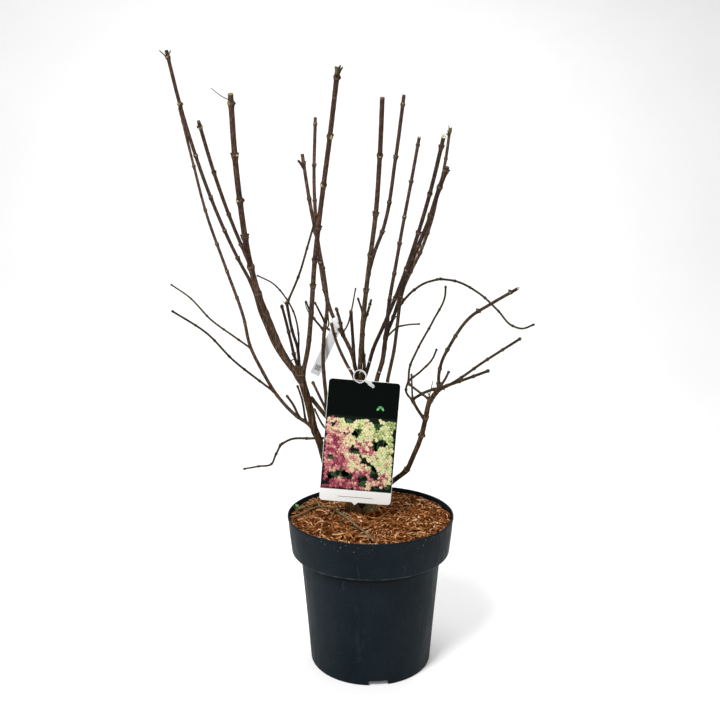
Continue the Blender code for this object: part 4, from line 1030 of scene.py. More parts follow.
def set_mark(shell, course, nodes, mark, radius):
    """One scar or bump that stands out at the node nearest to a height: an oval along the bark."""
    height = course.distance_at_height(mark.height)
    distance = min(nodes, key=lambda node: abs(node - height))
    heading = course.heading(distance)
    out = Vector(mark.side).to_3d().normalized()
    out = (out - heading * out.dot(heading)).normalized()
    start = course.at(distance - mark.length / 2) + out * radius(distance) * mark.reach
    blob(shell, start, heading, out, mark.length, mark.width, mark.width * mark.depth, mark.tone)


def dress_group(shrub, finishes, name, table, skin, waves=YOUNG_WAVES):
    """Dresses a table of limbs as one piece."""
    shell = Shell()
    for limb_name, limb in table.items():
        shrub.dress(shell, limb_name, limb, waves)
    shell.piece(name, finishes.limb(skin), tuple(table))


def dress_canes(shrub, finishes):
    """Each tall cane as a piece of its own, most of them red brown and a few olive; the right front and
    inner ones darkened as painted shade.
    """
    skins = {
        "cane_right_outer": finishes.olive, "cane_centre": finishes.olive,
        "cane_right_front": finishes.dark, "cane_right_inner": finishes.dark,
        "cane_right_back": finishes.deep, "cane_left_far": finishes.deep,
        "cane_centre_branch": finishes.deep, "cane_right_thick": finishes.deep,
    }
    for name, limb in TALL_CANES.items():
        shell = Shell()
        shrub.dress(shell, name, limb)
        shell.piece(name + "_bark", finishes.limb(skins.get(name, finishes.cane)), (name,))


def strand(shell, points, foot, end, sides=8, tone=0):
    """A thin tapering strand through points, with rounded ends."""
    course = Course(points)
    count = max(3, int(course.length / STRAND_STEP))
    rings = [(0.0, foot * 0.30, 0.0), (foot * 0.10, foot * 0.44, 0.0)]
    for k in range(1, count):
        share = k / count
        rings.append((course.length * share, (foot + (end - foot) * share) / 2, 0.0))
    rings += [(course.length - end * 0.10, end * 0.44, 0.0), (course.length, end * 0.28, 0.0)]
    tube(shell, course, rings, sides, tone)


def make_twiglets(finishes):
    """The stem against the thick left cane, and buds, prongs and hairs too thin to be solids."""
    shell = Shell()
    tones = {"young": PRONG, "hair": HAIR, "bark": BARK, "cane": CANE}
    for points, foot, end, kind in TWIGLETS:
        strand(shell, points, foot, end, 16 if kind == "cane" else 8, tones[kind])
    shell.piece("twiglets", finishes.limb(finishes.twig))


# Side shoots of the dead twigs: points on the mulch, in plan, and their diameters.
DEAD_SHOOTS = metres((
    (((-153.5, -22), (-140.6, -14), (-129.9, 1), (-118.9, 21), (-102.3, 42.7), (-108, 68), (-117.3, 90)),
     3.4, 2.2),
    (((-102.2, 39.9), (-79.9, 31.8), (-68, 20)), 3.2, 2.6),
    (((-58.6, 30), (-62.7, 10), (-59, -2)), 4.4, 4),
    (((-69.5, 14.7), (-75.9, -23.8)), 3, 1.8),
    (((-36.1, -73), (-26, -85)), 2.6, 1.4),
    (((-48, -30), (-60, -45)), 2.2, 1.2),
))

DEAD_TWIG_GAIN = 1.3
DEAD_STUBS = 9
STUB_REACH = (0.004, 0.011)
STUB_RISE = (0.001, 0.005)
STUB_BOW = 0.0012
SHOOT_LIFT = 0.0045
SHOOT_CROOK = 0.0012


def make_dead_twigs(finishes):
    """Two dry twigs on the mulch, knotted and crooked, with short broken side shoots."""
    draw = random.Random(5)
    shell = Shell()
    for line, thickness, height in DEAD_TWIGS.values():
        course = Course([(x, y, MULCH_TOP + height + TWIG_LIFT) for x, y in line])
        thickness *= DEAD_TWIG_GAIN
        shift = draw.uniform(0.0, 50.0)

        def relief(angle, distance):
            return 1.0 + 0.30 * noise.noise(spoke(angle, 1.0, shift + distance * 90))

        count = int(course.length / STRAND_STEP)
        rings = []
        for k in range(count + 1):
            share = k / count
            rings.append((course.length * share, thickness / 2 * (1 - 0.3 * share), 0.0))
        tube(shell, course, rings, 10, BARK, relief)
        for _ in range(DEAD_STUBS):
            place = course.at(course.length * draw.uniform(0.06, 0.94))
            turn = draw.uniform(0.0, 2 * math.pi)
            reach = draw.uniform(*STUB_REACH)
            tip = place + spoke(turn, reach, draw.uniform(*STUB_RISE))
            middle = place.lerp(tip, 0.5) + up(STUB_BOW)
            strand(shell, (place, middle, tip), thickness * 0.45, thickness * 0.22, 6)
    for line, foot, end in DEAD_SHOOTS:
        points = [(x, y, MULCH_TOP + SHOOT_LIFT + SHOOT_CROOK * (k % 2)) for k, (x, y) in enumerate(line)]
        strand(shell, points, foot, end)
    shell.piece("dead_twigs", finishes.limb(finishes.dry), tuple(DEAD_TWIGS))


def slab(shell, outline, front, back, place, tone=0):
    """A flat closed plate from an outline of (x, z) points, between two depths, then placed."""
    places = [place @ Vector((x, depth, z)) for depth in (front, back) for x, z in outline]
    shell.add(places, prism_faces(len(outline)), tone)


def box_outline(left, right, low, high):
    """A box, clockwise from its top left corner."""
    return [(left, high), (right, high), (right, low), (left, low)]


def round_box(x, z, wide, tall, corner, steps):
    """A box with round corners about a middle, clockwise from its top right corner."""
    points = []
    for right, high, start in ((1, 1, 90), (1, -1, 0), (-1, -1, -90), (-1, 1, -180)):
        for step in range(steps + 1):
            angle = math.radians(start - 90 * step / steps)
            points.append((x + right * (wide / 2 - corner) + corner * math.cos(angle),
                           z + high * (tall / 2 - corner) + corner * math.sin(angle)))
    return points


def card_box(inset=0.0):
    """The card's edge with its rounded corners, drawn in by an inset."""
    return round_box(0.0, -CARD_HEIGHT / 2, CARD_WIDTH - 2 * inset, CARD_HEIGHT - 2 * inset,
                     CARD_CORNER - inset, CARD_CORNER_STEPS)


def card_outline():
    """The card's edge with the tooth at the middle of its foot."""
    edge = card_box()
    half = CARD_TOOTH_WIDTH / 2
    waist = -CARD_HEIGHT - CARD_TOOTH_DEPTH * 0.62
    tooth = [(half, -CARD_HEIGHT), (half * 0.45, waist), (0.0, -CARD_HEIGHT - CARD_TOOTH_DEPTH),
             (-half * 0.45, waist), (-half, -CARD_HEIGHT)]
    return edge[:len(edge) // 2] + tooth + edge[len(edge) // 2:]


def card_place():
    """The card's turn and place: hung a little askew, facing the front."""
    return Matrix.Translation(CARD_TOP_CENTRE) @ Matrix.Rotation(CARD_TURN, 4, "Y")


# From the pale green of young flowers to the wine red of old ones.
FLORET_TONES = (
    ("moss", (0.130, 0.175, 0.050)), ("green", (0.330, 0.400, 0.150)), ("lime", (0.480, 0.520, 0.240)),
    ("cream", (0.600, 0.540, 0.310)), ("blush", (0.600, 0.360, 0.270)), ("salmon", (0.480, 0.215, 0.175)),
    ("pink", (0.400, 0.120, 0.135)), ("rose", (0.280, 0.052, 0.080)), ("wine", (0.140, 0.016, 0.034)),
)
PRINT_TOP = -0.0700
PRINT_FOOT = -0.2130
PRINT_INSET = 0.0006
FOOT_LINE = (-0.034, 0.034, -0.2270, -0.2262)
# The depths of the printed plates, from front to back, before the card's body.
BODY_FRONT = 0.00016
HEAD_DEPTHS = (0.00006, 0.00018)
FIELD_DEPTHS = (0.00008, 0.00018)
MARK_DEPTHS = (0.00002, 0.00008)
LEAF_DEPTHS = (0.00005, 0.00010)
FLORET_BACK = 0.00009
LAYER_DEPTH = 0.00001
LEAF_COUNT = 90
LEAF_LENGTHS = (0.014, 0.026)
FLORET_SPACING = 0.0052
ROW_SPACING = FLORET_SPACING / 1.155
FLORET_SHIFT = 0.0009
FLORET_SIZES = (0.0028, 0.0044)
# The highest gap and the lowest shade of noise among the florets, and the first tone of the reds.
GAP_LEVEL = 0.22
SHADE_LEVEL = -0.12
FIRST_RED = 4


def floret_outline(x, z, size, turn):
    """A small flower of four rounded petals, seen from the front."""
    points = []
    for angle in turns(16):
        reach = size * (0.62 + 0.38 * abs(math.cos(2 * angle)) ** 0.7)
        points.append((x + reach * math.cos(turn - angle), z + reach * math.sin(turn - angle)))
    return points


def leaf_outline(x, z, length, turn):
    """A pointed oval leaf, seen from the front."""
    points = []
    for angle in turns(14):
        wide = -0.24 * length * math.sin(angle) * (1.0 - 0.3 * math.cos(angle))
        long = 0.5 * length * math.cos(angle)
        points.append((x + long * math.cos(turn) - wide * math.sin(turn),
                       z + long * math.sin(turn) + wide * math.cos(turn)))
    return points


def floret_tone(draw, x, z):
    """The colour of a floret: drifts that run aslant from pale green through cream to crimson."""
    drift = 0.5 * (z - PRINT_TOP) / (PRINT_FOOT - PRINT_TOP) + 0.5 * (0.5 - x / CARD_WIDTH)
    drift += 0.34 * noise.noise(Vector((x * 34, z * 34, 1.0))) + draw.uniform(-0.16, 0.16)
    last = len(FLORET_TONES) - 1
    return min(last, max(0, int(drift * (last + 1.6) - 0.3)))


def make_card():
    """The plant's card: a dark head band, a field of florets in drifts, and a bare white foot."""
    place = card_place()
    paper = plain("card_white", (0.80, 0.80, 0.78), 0.35, 0.02)
    prints = [
        plain("card_black", (0.0012, 0.0026, 0.0022), 0.40, 0.10, specular=0.03),
        plain("card_ground", (0.0060, 0.0090, 0.0065), 0.40, 0.30, 220.0, specular=0.03),
        plain("card_leaf", (0.026, 0.060, 0.024), 0.40, 0.35, 300.0, specular=0.05),
        plain("card_motif", (0.120, 0.400, 0.150), 0.40, specular=0.05),
    ]
    flowers = [plain("floret_" + name, colour, 0.40, 0.25, 500.0, specular=0.08)
               for name, colour in FLORET_TONES]
    body = Shell()
    slab(body, card_outline(), BODY_FRONT, CARD_THICKNESS, place)
    card = body.piece("card_body", [paper], ("label_card",), 30.0)
    drill_card(card, place)
    printed = Shell()
    half = CARD_WIDTH / 2 - PRINT_INSET
    corner = CARD_CORNER_STEPS + 1
    edge = card_box(PRINT_INSET)
    head = edge[-corner:] + edge[:corner] + [(half, PRINT_TOP), (-half, PRINT_TOP)]
    slab(printed, head, *HEAD_DEPTHS, place, 0)
    slab(printed, box_outline(-half, half, PRINT_FOOT, PRINT_TOP), *FIELD_DEPTHS, place, 1)
    for k in range(3):
        mark = leaf_outline(0.030 + 0.004 * k, -0.052 + 0.0032 * (k % 2), 0.0085, 0.9 - 0.9 * k)
        slab(printed, mark, *MARK_DEPTHS, place, 3)
    draw = random.Random(31)
    for _ in range(LEAF_COUNT):
        length = draw.uniform(*LEAF_LENGTHS)
        x = draw.uniform(-half + length / 2, half - length / 2)
        z = draw.uniform(PRINT_FOOT + length / 2, PRINT_TOP - length / 2)
        slab(printed, leaf_outline(x, z, length, draw.uniform(0, math.pi)), *LEAF_DEPTHS, place, 2)
    print_florets(printed, draw, half, place, len(prints))
    slab(printed, box_outline(*FOOT_LINE), *FIELD_DEPTHS, place, 0)
    printed.piece("card_print", prints + flowers, (), 30.0)


def print_florets(shell, draw, half, place, first):
    """Rows of florets with gaps between them, each with a lighter one over it, set to one side."""
    last = len(FLORET_TONES) - 1
    for row in range(int((PRINT_TOP - PRINT_FOOT) / ROW_SPACING)):
        for column in range(int(CARD_WIDTH / FLORET_SPACING)):
            x = -half + FLORET_SPACING * (column + 0.75 + 0.5 * (row % 2))
            x += draw.uniform(-FLORET_SHIFT, FLORET_SHIFT)
            z = PRINT_TOP - 0.0030 - row * ROW_SPACING + draw.uniform(-FLORET_SHIFT, FLORET_SHIFT)
            gap = noise.noise(Vector((x * 46 + 5.0, z * 46, 8.0)))
            size = draw.uniform(*FLORET_SIZES)
            if gap > GAP_LEVEL or abs(x) > half - size or not PRINT_FOOT + size <= z <= PRINT_TOP - size:
                continue
            tone = floret_tone(draw, x, z)
            if noise.noise(Vector((x * 120, z * 120, 3.0))) < SHADE_LEVEL:
                tone = min(last, tone + 2) if tone >= FIRST_RED else max(0, tone - 1)
            front = -2 * LAYER_DEPTH * draw.randint(0, 4)
            under = floret_outline(x, z, size, draw.uniform(0, math.pi))
            slab(shell, under, front, FLORET_BACK, place, first + tone)
            glow = max(3, tone - 1) if tone >= FIRST_RED else min(3, tone + 1)
            lit = floret_outline(x - 0.0005, z + 0.0006, size * 0.66, draw.uniform(0, math.pi))
            slab(shell, lit, front - LAYER_DEPTH, FLORET_BACK, place, first + glow)


def drill_card(card, place):
    """Bores the hole that the tie's pin goes through."""
    shell = Shell()
    outline = [(CARD_HOLE_ALONG + CARD_HOLE_RADIUS * math.cos(angle),
                -CARD_HOLE_DOWN + CARD_HOLE_RADIUS * math.sin(angle)) for angle in turns(24)]
    slab(shell, outline[::-1], -DRILL_REACH, DRILL_REACH, place)
    cut(card, new_mesh("drill", shell.places, shell.faces))


def cut(obj, mesh):
    """Cuts an object by a closed mesh."""
    shaping = bmesh.new()
    shaping.from_mesh(mesh)
    bmesh.ops.recalc_face_normals(shaping, faces=shaping.faces)
    shaping.to_mesh(mesh)
    shaping.free()
    cutter = place_object("cutter", mesh)
    modifier = obj.modifiers.new("cut", "BOOLEAN")
    modifier.operation = "DIFFERENCE"
    modifier.solver = "EXACT"
    modifier.object = cutter
    graph = bpy.context.evaluated_depsgraph_get()
    shaped = bpy.data.meshes.new_from_object(obj.evaluated_get(graph))
    obj.modifiers.remove(modifier)
    obj.data = shaped
    bpy.data.objects.remove(cutter, do_unlink=True)


def make_tie(shrub):
    """The white tie: the ring before the card, its lock, the loop round the trunk, and loose ends."""
    shell = Shell()
    ring = [TIE_RING_CENTRE + Vector((math.cos(angle), 0.0, math.sin(angle))) * TIE_RING_RADIUS
            for angle in turns(48)]
    hoop(shell, ring, TIE_THICKNESS / 2)
    course = shrub.courses["trunk_centre"]
    up_trunk = course.distance_at_height(TIE_NECK_HEIGHT)
    neck = course.at(up_trunk)
    reach = limb_radius(TRUNKS["trunk_centre"], course.length, up_trunk)
    reach += TIE_NECK_CLEARANCE + TIE_THICKNESS / 2
    hoop(shell, [neck + spoke(angle) * reach * TIE_LOOP_SLACK for angle in turns(40)], TIE_THICKNESS / 2)
    hole = card_place() @ Vector((CARD_HOLE_ALONG, 0.0, -CARD_HOLE_DOWN))
    lock = hole + Vector((0.0, LOCK_FRONT, 0.0))
    start = TIE_RING_CENTRE + TIE_RING_RADIUS * Vector((math.cos(LOCK_TURN), 0.0, -math.sin(LOCK_TURN)))
    middle = start.lerp(lock, 0.5)
    strand(shell, (start, middle + Vector((0.0, LOCK_BOW, 0.0)), lock), 0.0040, 0.0050, 12)
    tab_turn = Matrix.Translation(middle) @ Matrix.Rotation(LOCK_TURN, 4, "Y")
    for x, z, wide, tall, deep in metres(LOCK_TABS):
        tab = round_box(x, z, wide, tall, min(wide, tall) * TAB_CORNER, 4)
        slab(shell, tab, -deep / 2, deep / 2, tab_turn)
    strand(shell, (lock, hole + Vector((0.0, PIN_REACH, 0.0))), 0.0034, 0.0030, 12)
    behind = hole + Vector((0.0, TIE_THICKNESS, 0.0))
    strand(shell, (behind, neck - Vector((0.0, reach, 0.0))), 0.0030, 0.0026, 12)
    for points, thickness in TIE_TURNS:
        strand(shell, points, thickness, thickness * 0.8, 10)
    strand(shell, CANE_BAND, CANE_BAND_THICKNESS, CANE_BAND_THICKNESS)
    grey_white = plain("tie_plastic", (0.50, 0.50, 0.49), 0.35, 0.05)
    shell.piece("tie", [grey_white], ("label_tie",))


def hoop(shell, line, radius, sides=12):
    """A closed round loop through points, of even thickness."""
    middle = sum(line, Vector()) / len(line)
    normal = (line[0] - middle).cross(line[len(line) // 4] - middle).normalized()
    places = []
    for place in line:
        outward = (place - middle).normalized()
        for angle in turns(sides):
            places.append(place + outward * math.cos(angle) * radius + normal * math.sin(angle) * radius)
    shell.add(places, ring_faces(len(line), sides, closed=True))


def make_stem_label(shrub, white):
    """The small white strip: a sleeve round its cane and a thin flag that hangs from it."""
    grey = plain("label_grey", (0.05, 0.05, 0.05), 0.5)
    course = shrub.courses["cane_centre_left"]
    start = course.distance_at_height(SLEEVE_CENTRE_HEIGHT) - SLEEVE_LENGTH / 2
    bore = TALL_CANES["cane_centre_left"].foot / 2 * SLEEVE_BORE_GAIN + SLEEVE_CLEARANCE
    shell = Shell()
    rings = [(start, bore, 0.0)]
    for share in (0.0, 0.04, 0.35, 0.65, 0.96, 1.0):
        bead = SLEEVE_BEAD if share in (0.0, 1.0) else 0.0
        rings.append((start + SLEEVE_LENGTH * share, bore + FLAG_THICKNESS + SLEEVE_WALL - bead, 0.0))
    rings.append((start + SLEEVE_LENGTH, bore, 0.0))
    tube(shell, course, rings, 32)
    drop = FLAG_DROP.normalized()
    wide = drop.cross(Vector((0.0, 1.0, 0.0))).normalized()
    through = drop.cross(wide).normalized()
    top = course.at(start + SLEEVE_LENGTH * FLAG_FOOT_SHARE) - drop * FLAG_OVERLAP
    place = Matrix.Translation(top) @ Matrix((wide, through, -drop)).transposed().to_4x4()
    half = FLAG_WIDTH / 2
    deep = FLAG_THICKNESS / 2
    slab(shell, box_outline(-half, half, -FLAG_LENGTH, 0.0), -deep, deep, place)
    low = -FLAG_LENGTH + FLAG_MARK_RISE
    for k in range(FLAG_MARKS):
        x = FLAG_MARK_FIRST + FLAG_MARK_SPACING * k
        mark = box_outline(x, x + FLAG_MARK_WIDTH, low, low + FLAG_MARK_HEIGHT)
        for near in (-deep, deep):
            slab(shell, mark, near - FLAG_MARK_DEPTH, near + FLAG_MARK_DEPTH, place, 1)
    shell.piece("stem_strip", [white, grey], ("stem_label",), 40.0)


CRUMB_COUNT = 340
CRUMB_FOOT = 0.005
CRUMB_MARGIN = 0.008
CRUMB_SINK = 0.0002
CRUMB_SIZES = (0.0003, 0.0008)
CRUMB_WEIGHTS = (26, 24, 30, 20)


def make_crumbs(tones):
    """Crumbs of bark and dust that cling to the pot's collar and lie along its lip."""
    draw = random.Random(41)
    shell = Shell()
    collar = POT_HEIGHT - COLLAR_FOOT_HEIGHT
    for _ in range(CRUMB_COUNT):
        rise = CRUMB_FOOT + (collar - CRUMB_MARGIN) * (1.0 - draw.random() ** 1.7)
        radius = COLLAR_FOOT_RADIUS + (POT_RIM_RADIUS - COLLAR_FOOT_RADIUS) * rise / collar
        out = spoke(draw.uniform(0.0, 2 * math.pi))
        size = draw.uniform(*CRUMB_SIZES)
        axis = Vector((-out.y, out.x, draw.uniform(-1.5, 1.5))).normalized()
        place = out * (radius - CRUMB_SINK) + up(COLLAR_FOOT_HEIGHT + rise)
        tone = draw.choices(range(1, 5), CRUMB_WEIGHTS)[0]
        blob(shell, place, axis, out, size * 2.0, size, size * 0.8, tone, 6)
    shell.piece("pot_crumbs", tones)


SEEDLING_ROOT = Vector((-0.1465, 0.0290, MULCH_TOP - 0.001))
SEEDLING_RISE = (0.004, 0.009)
SEEDLING_REACH = (0.003, 0.006)
SEEDLING_BOW = 0.001
# A leaf's length, width and depth.
SEEDLING_LEAF = (0.0060, 0.0036, 0.0008)


def make_weed():
    """A tiny green seedling at the pot's left edge, whose leaves turn in from the lip."""
    green = plain("seedling", (0.130, 0.260, 0.045), 0.6, 0.3)
    draw = random.Random(3)
    shell = Shell()
    for turn in turns(6):
        out = spoke(turn + draw.uniform(-0.4, 0.4))
        if out.x < -0.2:
            out = (out + Vector((0.6, -0.3, 0.0))).normalized()
        rise = draw.uniform(*SEEDLING_RISE)
        tip = SEEDLING_ROOT + out * draw.uniform(*SEEDLING_REACH) + up(rise)
        middle = SEEDLING_ROOT.lerp(tip, 0.6) + up(SEEDLING_BOW)
        strand(shell, (SEEDLING_ROOT, middle, tip), 0.0009, 0.0006, 6)
        lean = (out + up(0.8)).normalized()
        blob(shell, tip, lean, lean.cross(Vector((-out.y, out.x, 0.0))), *SEEDLING_LEAF, 0)
    shell.piece("seedling", [green])


def turned(shell, profile, sides, tone=0, relief=None):
    """Turns a closed profile of (radius, height) points, whose two ends lie on the axis, about Z."""
    places = [spoke(angle, radius, height) for radius, height in profile[1:-1] for angle in turns(sides)]
    if relief:
        places = [relief(place) for place in places]
    places += [up(profile[0][1]), up(profile[-1][1])]
    rings = len(profile) - 2
    shell.add(places, ring_faces(rings, sides) + pole_faces(rings, sides), tone)


def rounded(corner, start, end, radius, steps=5):
    """Points round a corner of a profile, from the side of `start` to the side of `end`."""
    corner = Vector(corner)
    first = corner + (Vector(start) - corner).normalized() * radius
    last = corner + (Vector(end) - corner).normalized() * radius
    points = []
    for step in range(steps + 1):
        t = step / steps
        points.append(tuple(first * (1 - t) ** 2 + corner * 2 * t * (1 - t) + last * t**2))
    return points


def make_pot():
    """The pot: tapering body, stepped-out collar with a beaded lip, and notches in the foot."""
    rim = POT_RIM_RADIUS
    inner = rim - POT_WALL
    foot = (POT_FOOT_RADIUS, 0.0)
    top = (BODY_TOP_RADIUS, COLLAR_FOOT_HEIGHT + BODY_TUCK)
    ledge = (COLLAR_FOOT_RADIUS, COLLAR_FOOT_HEIGHT)
    lip = (rim, POT_HEIGHT)
    profile = [(0.0, 0.0), (0.06, 0.0), (0.10, 0.0)]
    profile += rounded(foot, (0.0, 0.0), top, EDGE_ROUND)
    for step in range(1, BODY_STEPS):
        share = step / BODY_STEPS
        bow = BODY_BOW * math.sin(math.pi * share)
        profile.append((foot[0] + (top[0] - foot[0]) * share - bow, top[1] * share))
    profile += rounded(top, foot, ledge, 0.0012, 3)
    profile += rounded(ledge, top, lip, EDGE_ROUND, 6)
    profile += [(rim - 0.0034, POT_HEIGHT - 0.030), (rim - 0.0014, POT_HEIGHT - 0.0075)]
    profile += rounded((rim - 0.0010, POT_HEIGHT - 0.0052), ledge, lip, 0.0008, 2)
    profile += [(rim, POT_HEIGHT - 0.0040)]
    profile += rounded(lip, ledge, (inner, POT_HEIGHT), LIP_BEAD)
    profile += rounded((inner, POT_HEIGHT), lip, (inner, 0.0), LIP_BEAD)
    for radius in (COLLAR_FOOT_RADIUS, BODY_TOP_RADIUS):
        profile.append((radius - POT_WALL, COLLAR_FOOT_HEIGHT + POT_WALL))
    profile += [(POT_FOOT_RADIUS - POT_WALL, POT_FLOOR), (0.0, POT_FLOOR)]
    shell = Shell()
    turned(shell, profile, POT_SIDES)
    pot = shell.piece("pot_shell", [pot_plastic()], ("pot",), 40.0)
    for turn in turns(NOTCH_COUNT):
        cut_notch(pot, NOTCH_FIRST + turn)


def cut_notch(pot, turn):
    """Cuts one drain notch with rounded upper corners into the pot's foot."""
    half = NOTCH_WIDTH / 2
    left = (-half, NOTCH_HEIGHT)
    right = (half, NOTCH_HEIGHT)
    outline = [(-half, -NOTCH_HEIGHT)]
    outline += rounded(left, (-half, 0.0), right, NOTCH_ROUND, 4)
    outline += rounded(right, left, (half, 0.0), NOTCH_ROUND, 4)
    outline += [(half, -NOTCH_HEIGHT)]
    outer = POT_FOOT_RADIUS + NOTCH_OVERREACH
    spun = Matrix.Rotation(turn, 3, "Z")
    places = [spun @ Vector((reach, x, z)) for reach in (outer, outer - NOTCH_DEPTH) for x, z in outline]
    cut(pot, new_mesh("notch", places, prism_faces(len(outline))))


HOLLOW_PLACE = Vector((0.011, 0.002))
HOLLOW_RADIUS = 0.0095
HOLLOW_DEPTH = 0.010
# The bed falls away towards the pot's wall.
EDGE_START = 0.12
EDGE_WIDTH = 0.036
EDGE_FALL = 0.0025
BED_RINGS = 46
BED_SIDES = 150
BED_THICKNESS = 0.02


def hollow_distance(x, y):
    """How far a place lies from the middle of the dark pit at the foot of the stool."""
    return math.hypot(x - HOLLOW_PLACE.x, y - HOLLOW_PLACE.y)


def mulch_height(x, y):
    """The height of the mulch's bed at a place."""
    lumps = 0.6 * noise.noise(Vector((x * 38, y * 38, 0.3)))
    lumps += 0.4 * noise.noise(Vector((x * 110, y * 110, 2.0)))
    fall = EDGE_FALL * max(0.0, (math.hypot(x, y) - EDGE_START) / EDGE_WIDTH) ** 2
    hollow = HOLLOW_DEPTH * math.exp(-((hollow_distance(x, y) / HOLLOW_RADIUS) ** 2))
    return MULCH_TOP + MULCH_RELIEF * lumps - fall - hollow


def make_mulch():
    """The mulch: an uneven bed under thousands of fibres and chips of bark in five colours."""
    tones = [
        plain("mulch_dark", (0.026, 0.0070, 0.0014), 0.95, 0.3, specular=0.02),
        plain("mulch_red", (0.100, 0.0275, 0.0055), 0.92, 0.3, specular=0.03),
        plain("mulch_orange", (0.210, 0.0770, 0.0220), 0.90, 0.3, specular=0.04),
        plain("mulch_tan", (0.390, 0.178, 0.072), 0.90, 0.25, specular=0.05),
        plain("mulch_pale", (0.660, 0.400, 0.220), 0.88, 0.2, specular=0.06),
    ]
    bed = Shell()
    profile = [(0.0, MULCH_TOP - BED_THICKNESS), (MULCH_RADIUS, MULCH_TOP - BED_THICKNESS)]
    profile += [(MULCH_RADIUS * (1 - k / BED_RINGS), MULCH_TOP) for k in range(BED_RINGS)]
    profile += [(0.0, MULCH_TOP)]

    def relief(place):
        if place.z < MULCH_TOP:
            return place
        return Vector((place.x, place.y, mulch_height(place.x, place.y) - BED_DROP))

    turned(bed, profile, BED_SIDES, 0, relief)
    bed.places[-1].z = mulch_height(0.0, 0.0) - BED_DROP
    # The bed takes the darkest tone: partly the mulch's own dark bark, partly painted shade in the gaps
    # between the fibres.
    bed.piece("mulch_bed", [tones[0]], ("mulch",))
    scatter_fibres(tones)
    scatter_chips(tones)
    make_crumbs(tones)


def bare(x, y):
    """Whether a place on the mulch is clear of the stool's foot and of the dead twigs."""
    if math.hypot(x - STOOL_CENTRE.x, y - STOOL_CENTRE.y) < STOOL_BERTH:
        return False
    place = Vector((x, y))
    for line, _, _ in DEAD_TWIGS.values():
        for start, end in zip(line, line[1:]):
            start = Vector(start)
            run = Vector(end) - start
            share = min(1.0, max(0.0, (place - start).dot(run) / run.length_squared))
            if (place - start - run * share).length < TWIG_BERTH:
                return False
    return True


def place_on_disc(draw, reach):
    """A random bare place on the mulch."""
    while True:
        radius = reach * math.sqrt(draw.random())
        angle = draw.uniform(0.0, 2 * math.pi)
        x = radius * math.cos(angle)
        y = radius * math.sin(angle)
        if bare(x, y):
            return x, y


WALL_BERTH = 0.0012
FIBRE_STEPS = 5
FIBRE_MARGIN = 0.003
FIBRE_LENGTHS = (0.009, 0.028)
FIBRE_WIDTHS = (0.0010, 0.0028)
FIBRE_BEND = 1.1
FIBRE_RISES = (0.0002, 0.0034)
FIBRE_TILTS = (-0.0016, 0.0018)
FIBRE_SINK = 0.0022
FIBRE_WEIGHTS = (17, 32, 28, 16, 7)


def scatter_fibres(tones):
    """Curved strands of bark that lie across each other on the bed."""
    draw = random.Random(11)
    shell = Shell()
    limit = MULCH_RADIUS - WALL_BERTH
    faces = [(0, 1, 2), (3 * FIBRE_STEPS + 2, 3 * FIBRE_STEPS + 1, 3 * FIBRE_STEPS)]
    faces += [tuple(reversed(face)) for face in ring_faces(FIBRE_STEPS + 1, 3)]
    for _ in range(FIBRE_COUNT):
        x, y = place_on_disc(draw, MULCH_RADIUS - FIBRE_MARGIN)
        length = draw.uniform(*FIBRE_LENGTHS)
        width = draw.uniform(*FIBRE_WIDTHS)
        turn = draw.uniform(0.0, 2 * math.pi)
        bend = draw.uniform(-FIBRE_BEND, FIBRE_BEND)
        depth = draw.random() ** 1.5
        rise = draw.uniform(*FIBRE_RISES) * (1.2 - depth)
        tilt = draw.uniform(*FIBRE_TILTS)
        # Fibres near the top take lighter tones and deeper ones darker: painted light on top, painted
        # shade below.
        tone = min(4, int(draw.choices(range(5), FIBRE_WEIGHTS)[0] + 0.75 - depth * 0.9))
        # Fibres in the pit at the stool's foot take the darkest tone: painted shade in the pit.
        if hollow_distance(x, y) < HOLLOW_RADIUS:
            tone = 0
        places = []
        for step in range(FIBRE_STEPS + 1):
            share = step / FIBRE_STEPS - 0.5
            angle = turn + bend * share
            px = x + length * share * math.cos(angle)
            py = y + length * share * math.sin(angle)
            reach = math.hypot(px, py)
            if reach > limit:
                px, py = px * limit / reach, py * limit / reach
            lift = rise * (1 - 4 * share * share) + tilt * share
            centre = Vector((px, py, mulch_height(px, py) + lift - FIBRE_SINK * depth))
            wide = spoke(angle + bend * share + math.pi / 2) * width / 2
            taper = 1.0 if 0 < step < FIBRE_STEPS else 0.45
            places += [centre + wide * taper, centre + up(width * 0.42 * taper), centre - wide * taper]
        shell.add(places, faces, tone)
    shell.piece("mulch_fibres", tones, (), 80.0)


CHIP_CORNERS = 6
CHIP_MARGIN = 0.006
CHIP_SIZES = (0.0016, 0.0042)
BIG_CHIP = 1.6
BIG_CHIP_SHARE = 0.10
CHIP_THICKNESS = (0.16, 0.34)
CHIP_STRETCH = (1.0, 2.4)
CHIP_LEANS = ((0.6, "X"), (0.5, "Y"))
CHIP_LIFT = 0.0012
CHIP_WEIGHTS = (22, 32, 26, 14, 6)


